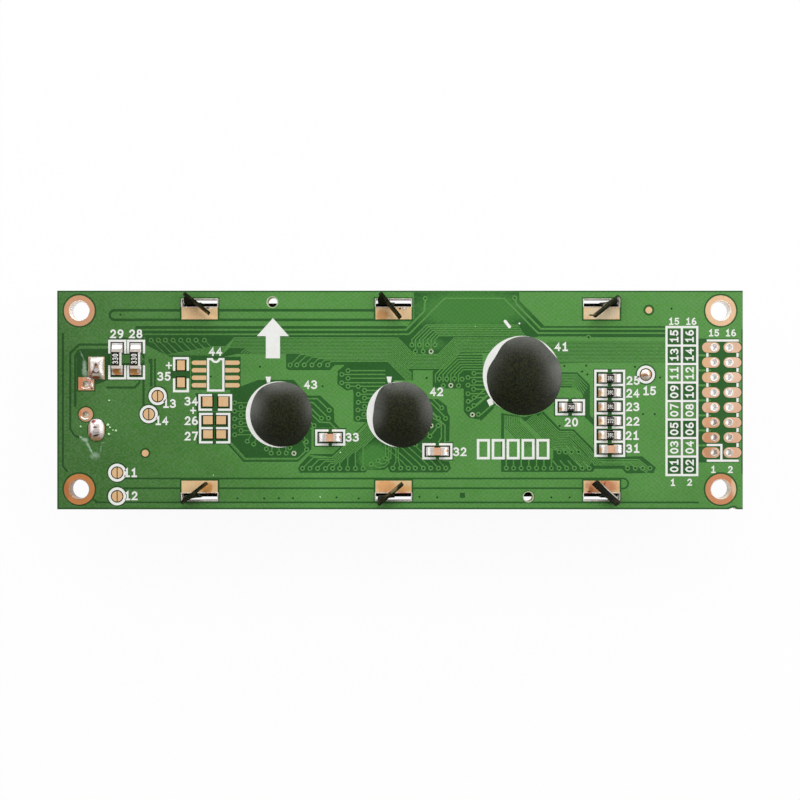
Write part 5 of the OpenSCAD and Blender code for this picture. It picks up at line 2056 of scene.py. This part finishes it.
@dataclass
class Studio:
    """Camera straight above the board, soft lamps and a white card.

    Attributes:
        board_top: Height of the board's component side.
        distance: Height of the camera over it.
        half_view: Half the width seen at the board's height.
        sky: Strength of the light from all round.
        card: Half the side of the white card, far outside the view.
    """

    board_top: float
    distance: float = 160.0
    half_view: float = 67.68
    sky: float = 0.16
    card: float = 1500.0

    def camera(self) -> None:
        """Looks straight down, at a distance that shows a little of the hole walls."""
        made = bpy.data.cameras.new("camera")
        made.sensor_width = 36.0
        made.lens = made.sensor_width / 2 * self.distance / self.half_view
        made.clip_start, made.clip_end = 0.01, 10.0
        holder = bpy.data.objects.new("camera", made)
        holder.location = (0.0, 0.0, (self.board_top + self.distance) * MM)
        bpy.context.scene.collection.objects.link(holder)
        bpy.context.scene.camera = holder

    def world(self) -> None:
        """Even grey sky that lights, and plain white to the camera, also through the glass."""
        sky = bpy.data.worlds.new("sky")
        sky.use_nodes = True
        tree = sky.node_tree
        tree.nodes.clear()
        rays = [add(tree, "LightPath", out=f"Is {ray} Ray") for ray in ("Camera", "Transmission")]
        seen = add(tree, "Math.MAXIMUM", *rays)
        strength = add(tree, "MapRange", seen, 0.0, 1.0, self.sky, 1.0)
        add(tree, "OutputWorld", add(tree, "Background", "FFFFFF", strength))
        bpy.context.scene.world = sky

    def lamp(self, name: str, at: tuple[float, float, float], size: Point, power: float) -> None:
        """Adds a soft lamp that points at the middle of the board.

        Args:
            name: Name of the lamp.
            at: Its place, in metres.
            size: Its length and height, in metres.
            power: Its power, in watts.
        """
        made = bpy.data.lights.new(name, "AREA")
        made.shape = "RECTANGLE"
        made.size, made.size_y = size
        made.energy = power
        holder = bpy.data.objects.new(name, made)
        holder.location = at
        aim = Vector((0.0, 0.0, self.board_top * MM)) - Vector(at)
        holder.rotation_mode = "QUATERNION"
        holder.rotation_quaternion = aim.to_track_quat("-Z", "Y")
        bpy.context.scene.collection.objects.link(holder)

    def floor(self) -> None:
        """Flat white card under the part, a grid whose edge lies far outside the view."""
        side = np.linspace(-self.card, self.card, 9)
        x, y = np.meshgrid(side, side, indexing="ij")
        z = np.full(x.shape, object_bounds()[0].z / MM - 0.02)
        points = np.stack([x, y, z], -1).reshape(-1, 3) * MM
        mesh = bpy.data.meshes.new("white_card")
        mesh.from_pydata(points.tolist(), [], grid_faces(9, 9)[:, ::-1].tolist())
        mesh.materials.append(Stage("white_card").material())
        card = bpy.data.objects.new("white_card", mesh)
        bpy.context.scene.collection.objects.link(card)
        card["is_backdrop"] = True

    def build(self) -> None:
        """Sets up everything around the part."""
        bpy.context.scene.view_settings.view_transform = "Standard"
        self.camera()
        self.world()
        self.lamp("softbox_above", (0.05, 0.75, 0.42), (1.3, 0.55), 9.2)
        self.lamp("softbox_right", (0.62, 0.12, 0.34), (0.45, 0.6), 2.9)
        self.lamp("softbox_left", (-0.62, 0.12, 0.34), (0.45, 0.6), 1.9)
        self.floor()


def main() -> None:
    """Loads the frame, dresses it, adds the pieces and sets up the studio."""
    logging.basicConfig(level=logging.INFO, format="%(name)s: %(message)s")
    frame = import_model()
    top = height_of("circuit_board")
    pad = height_of("tab_pads")
    finishes = {name: finish.material() for name, finish in FINISHES.items()}
    dress(frame["nodes"], finishes)
    parts = [
        SolderMaskSheet(top),
        BoardNumbers(top),
        ResinCap("left", (-20.1, -2.43), (5.25, 5.48),
                 [(130, 22, 0.2), (56, 18, 0.15), (-58, 20, 0.18)]),
        ResinCap("middle", (0.45, -2.5), (5.1, 5.55),
                 [(126, 19, 0.45), (217, 20, 0.36), (172, 12, -0.15)]),
        ResinCap("right", (21, 4.1), (6.35, 6.68),
                 [(146, 21, -0.62), (46, 18, -0.38), (-42, 24, 0.15), (218, 22, 0.2)]),
        BacklightJoints(pad, top),
        PlatedHoles(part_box("mounting_rings")[0].z / MM, pad),
    ]
    for part in parts:
        for piece in part.build(finishes):
            LOG.info("%s: %d faces", piece.name, len(piece.data.polygons))
    Studio(top).build()


if __name__ == "__main__":
    main()
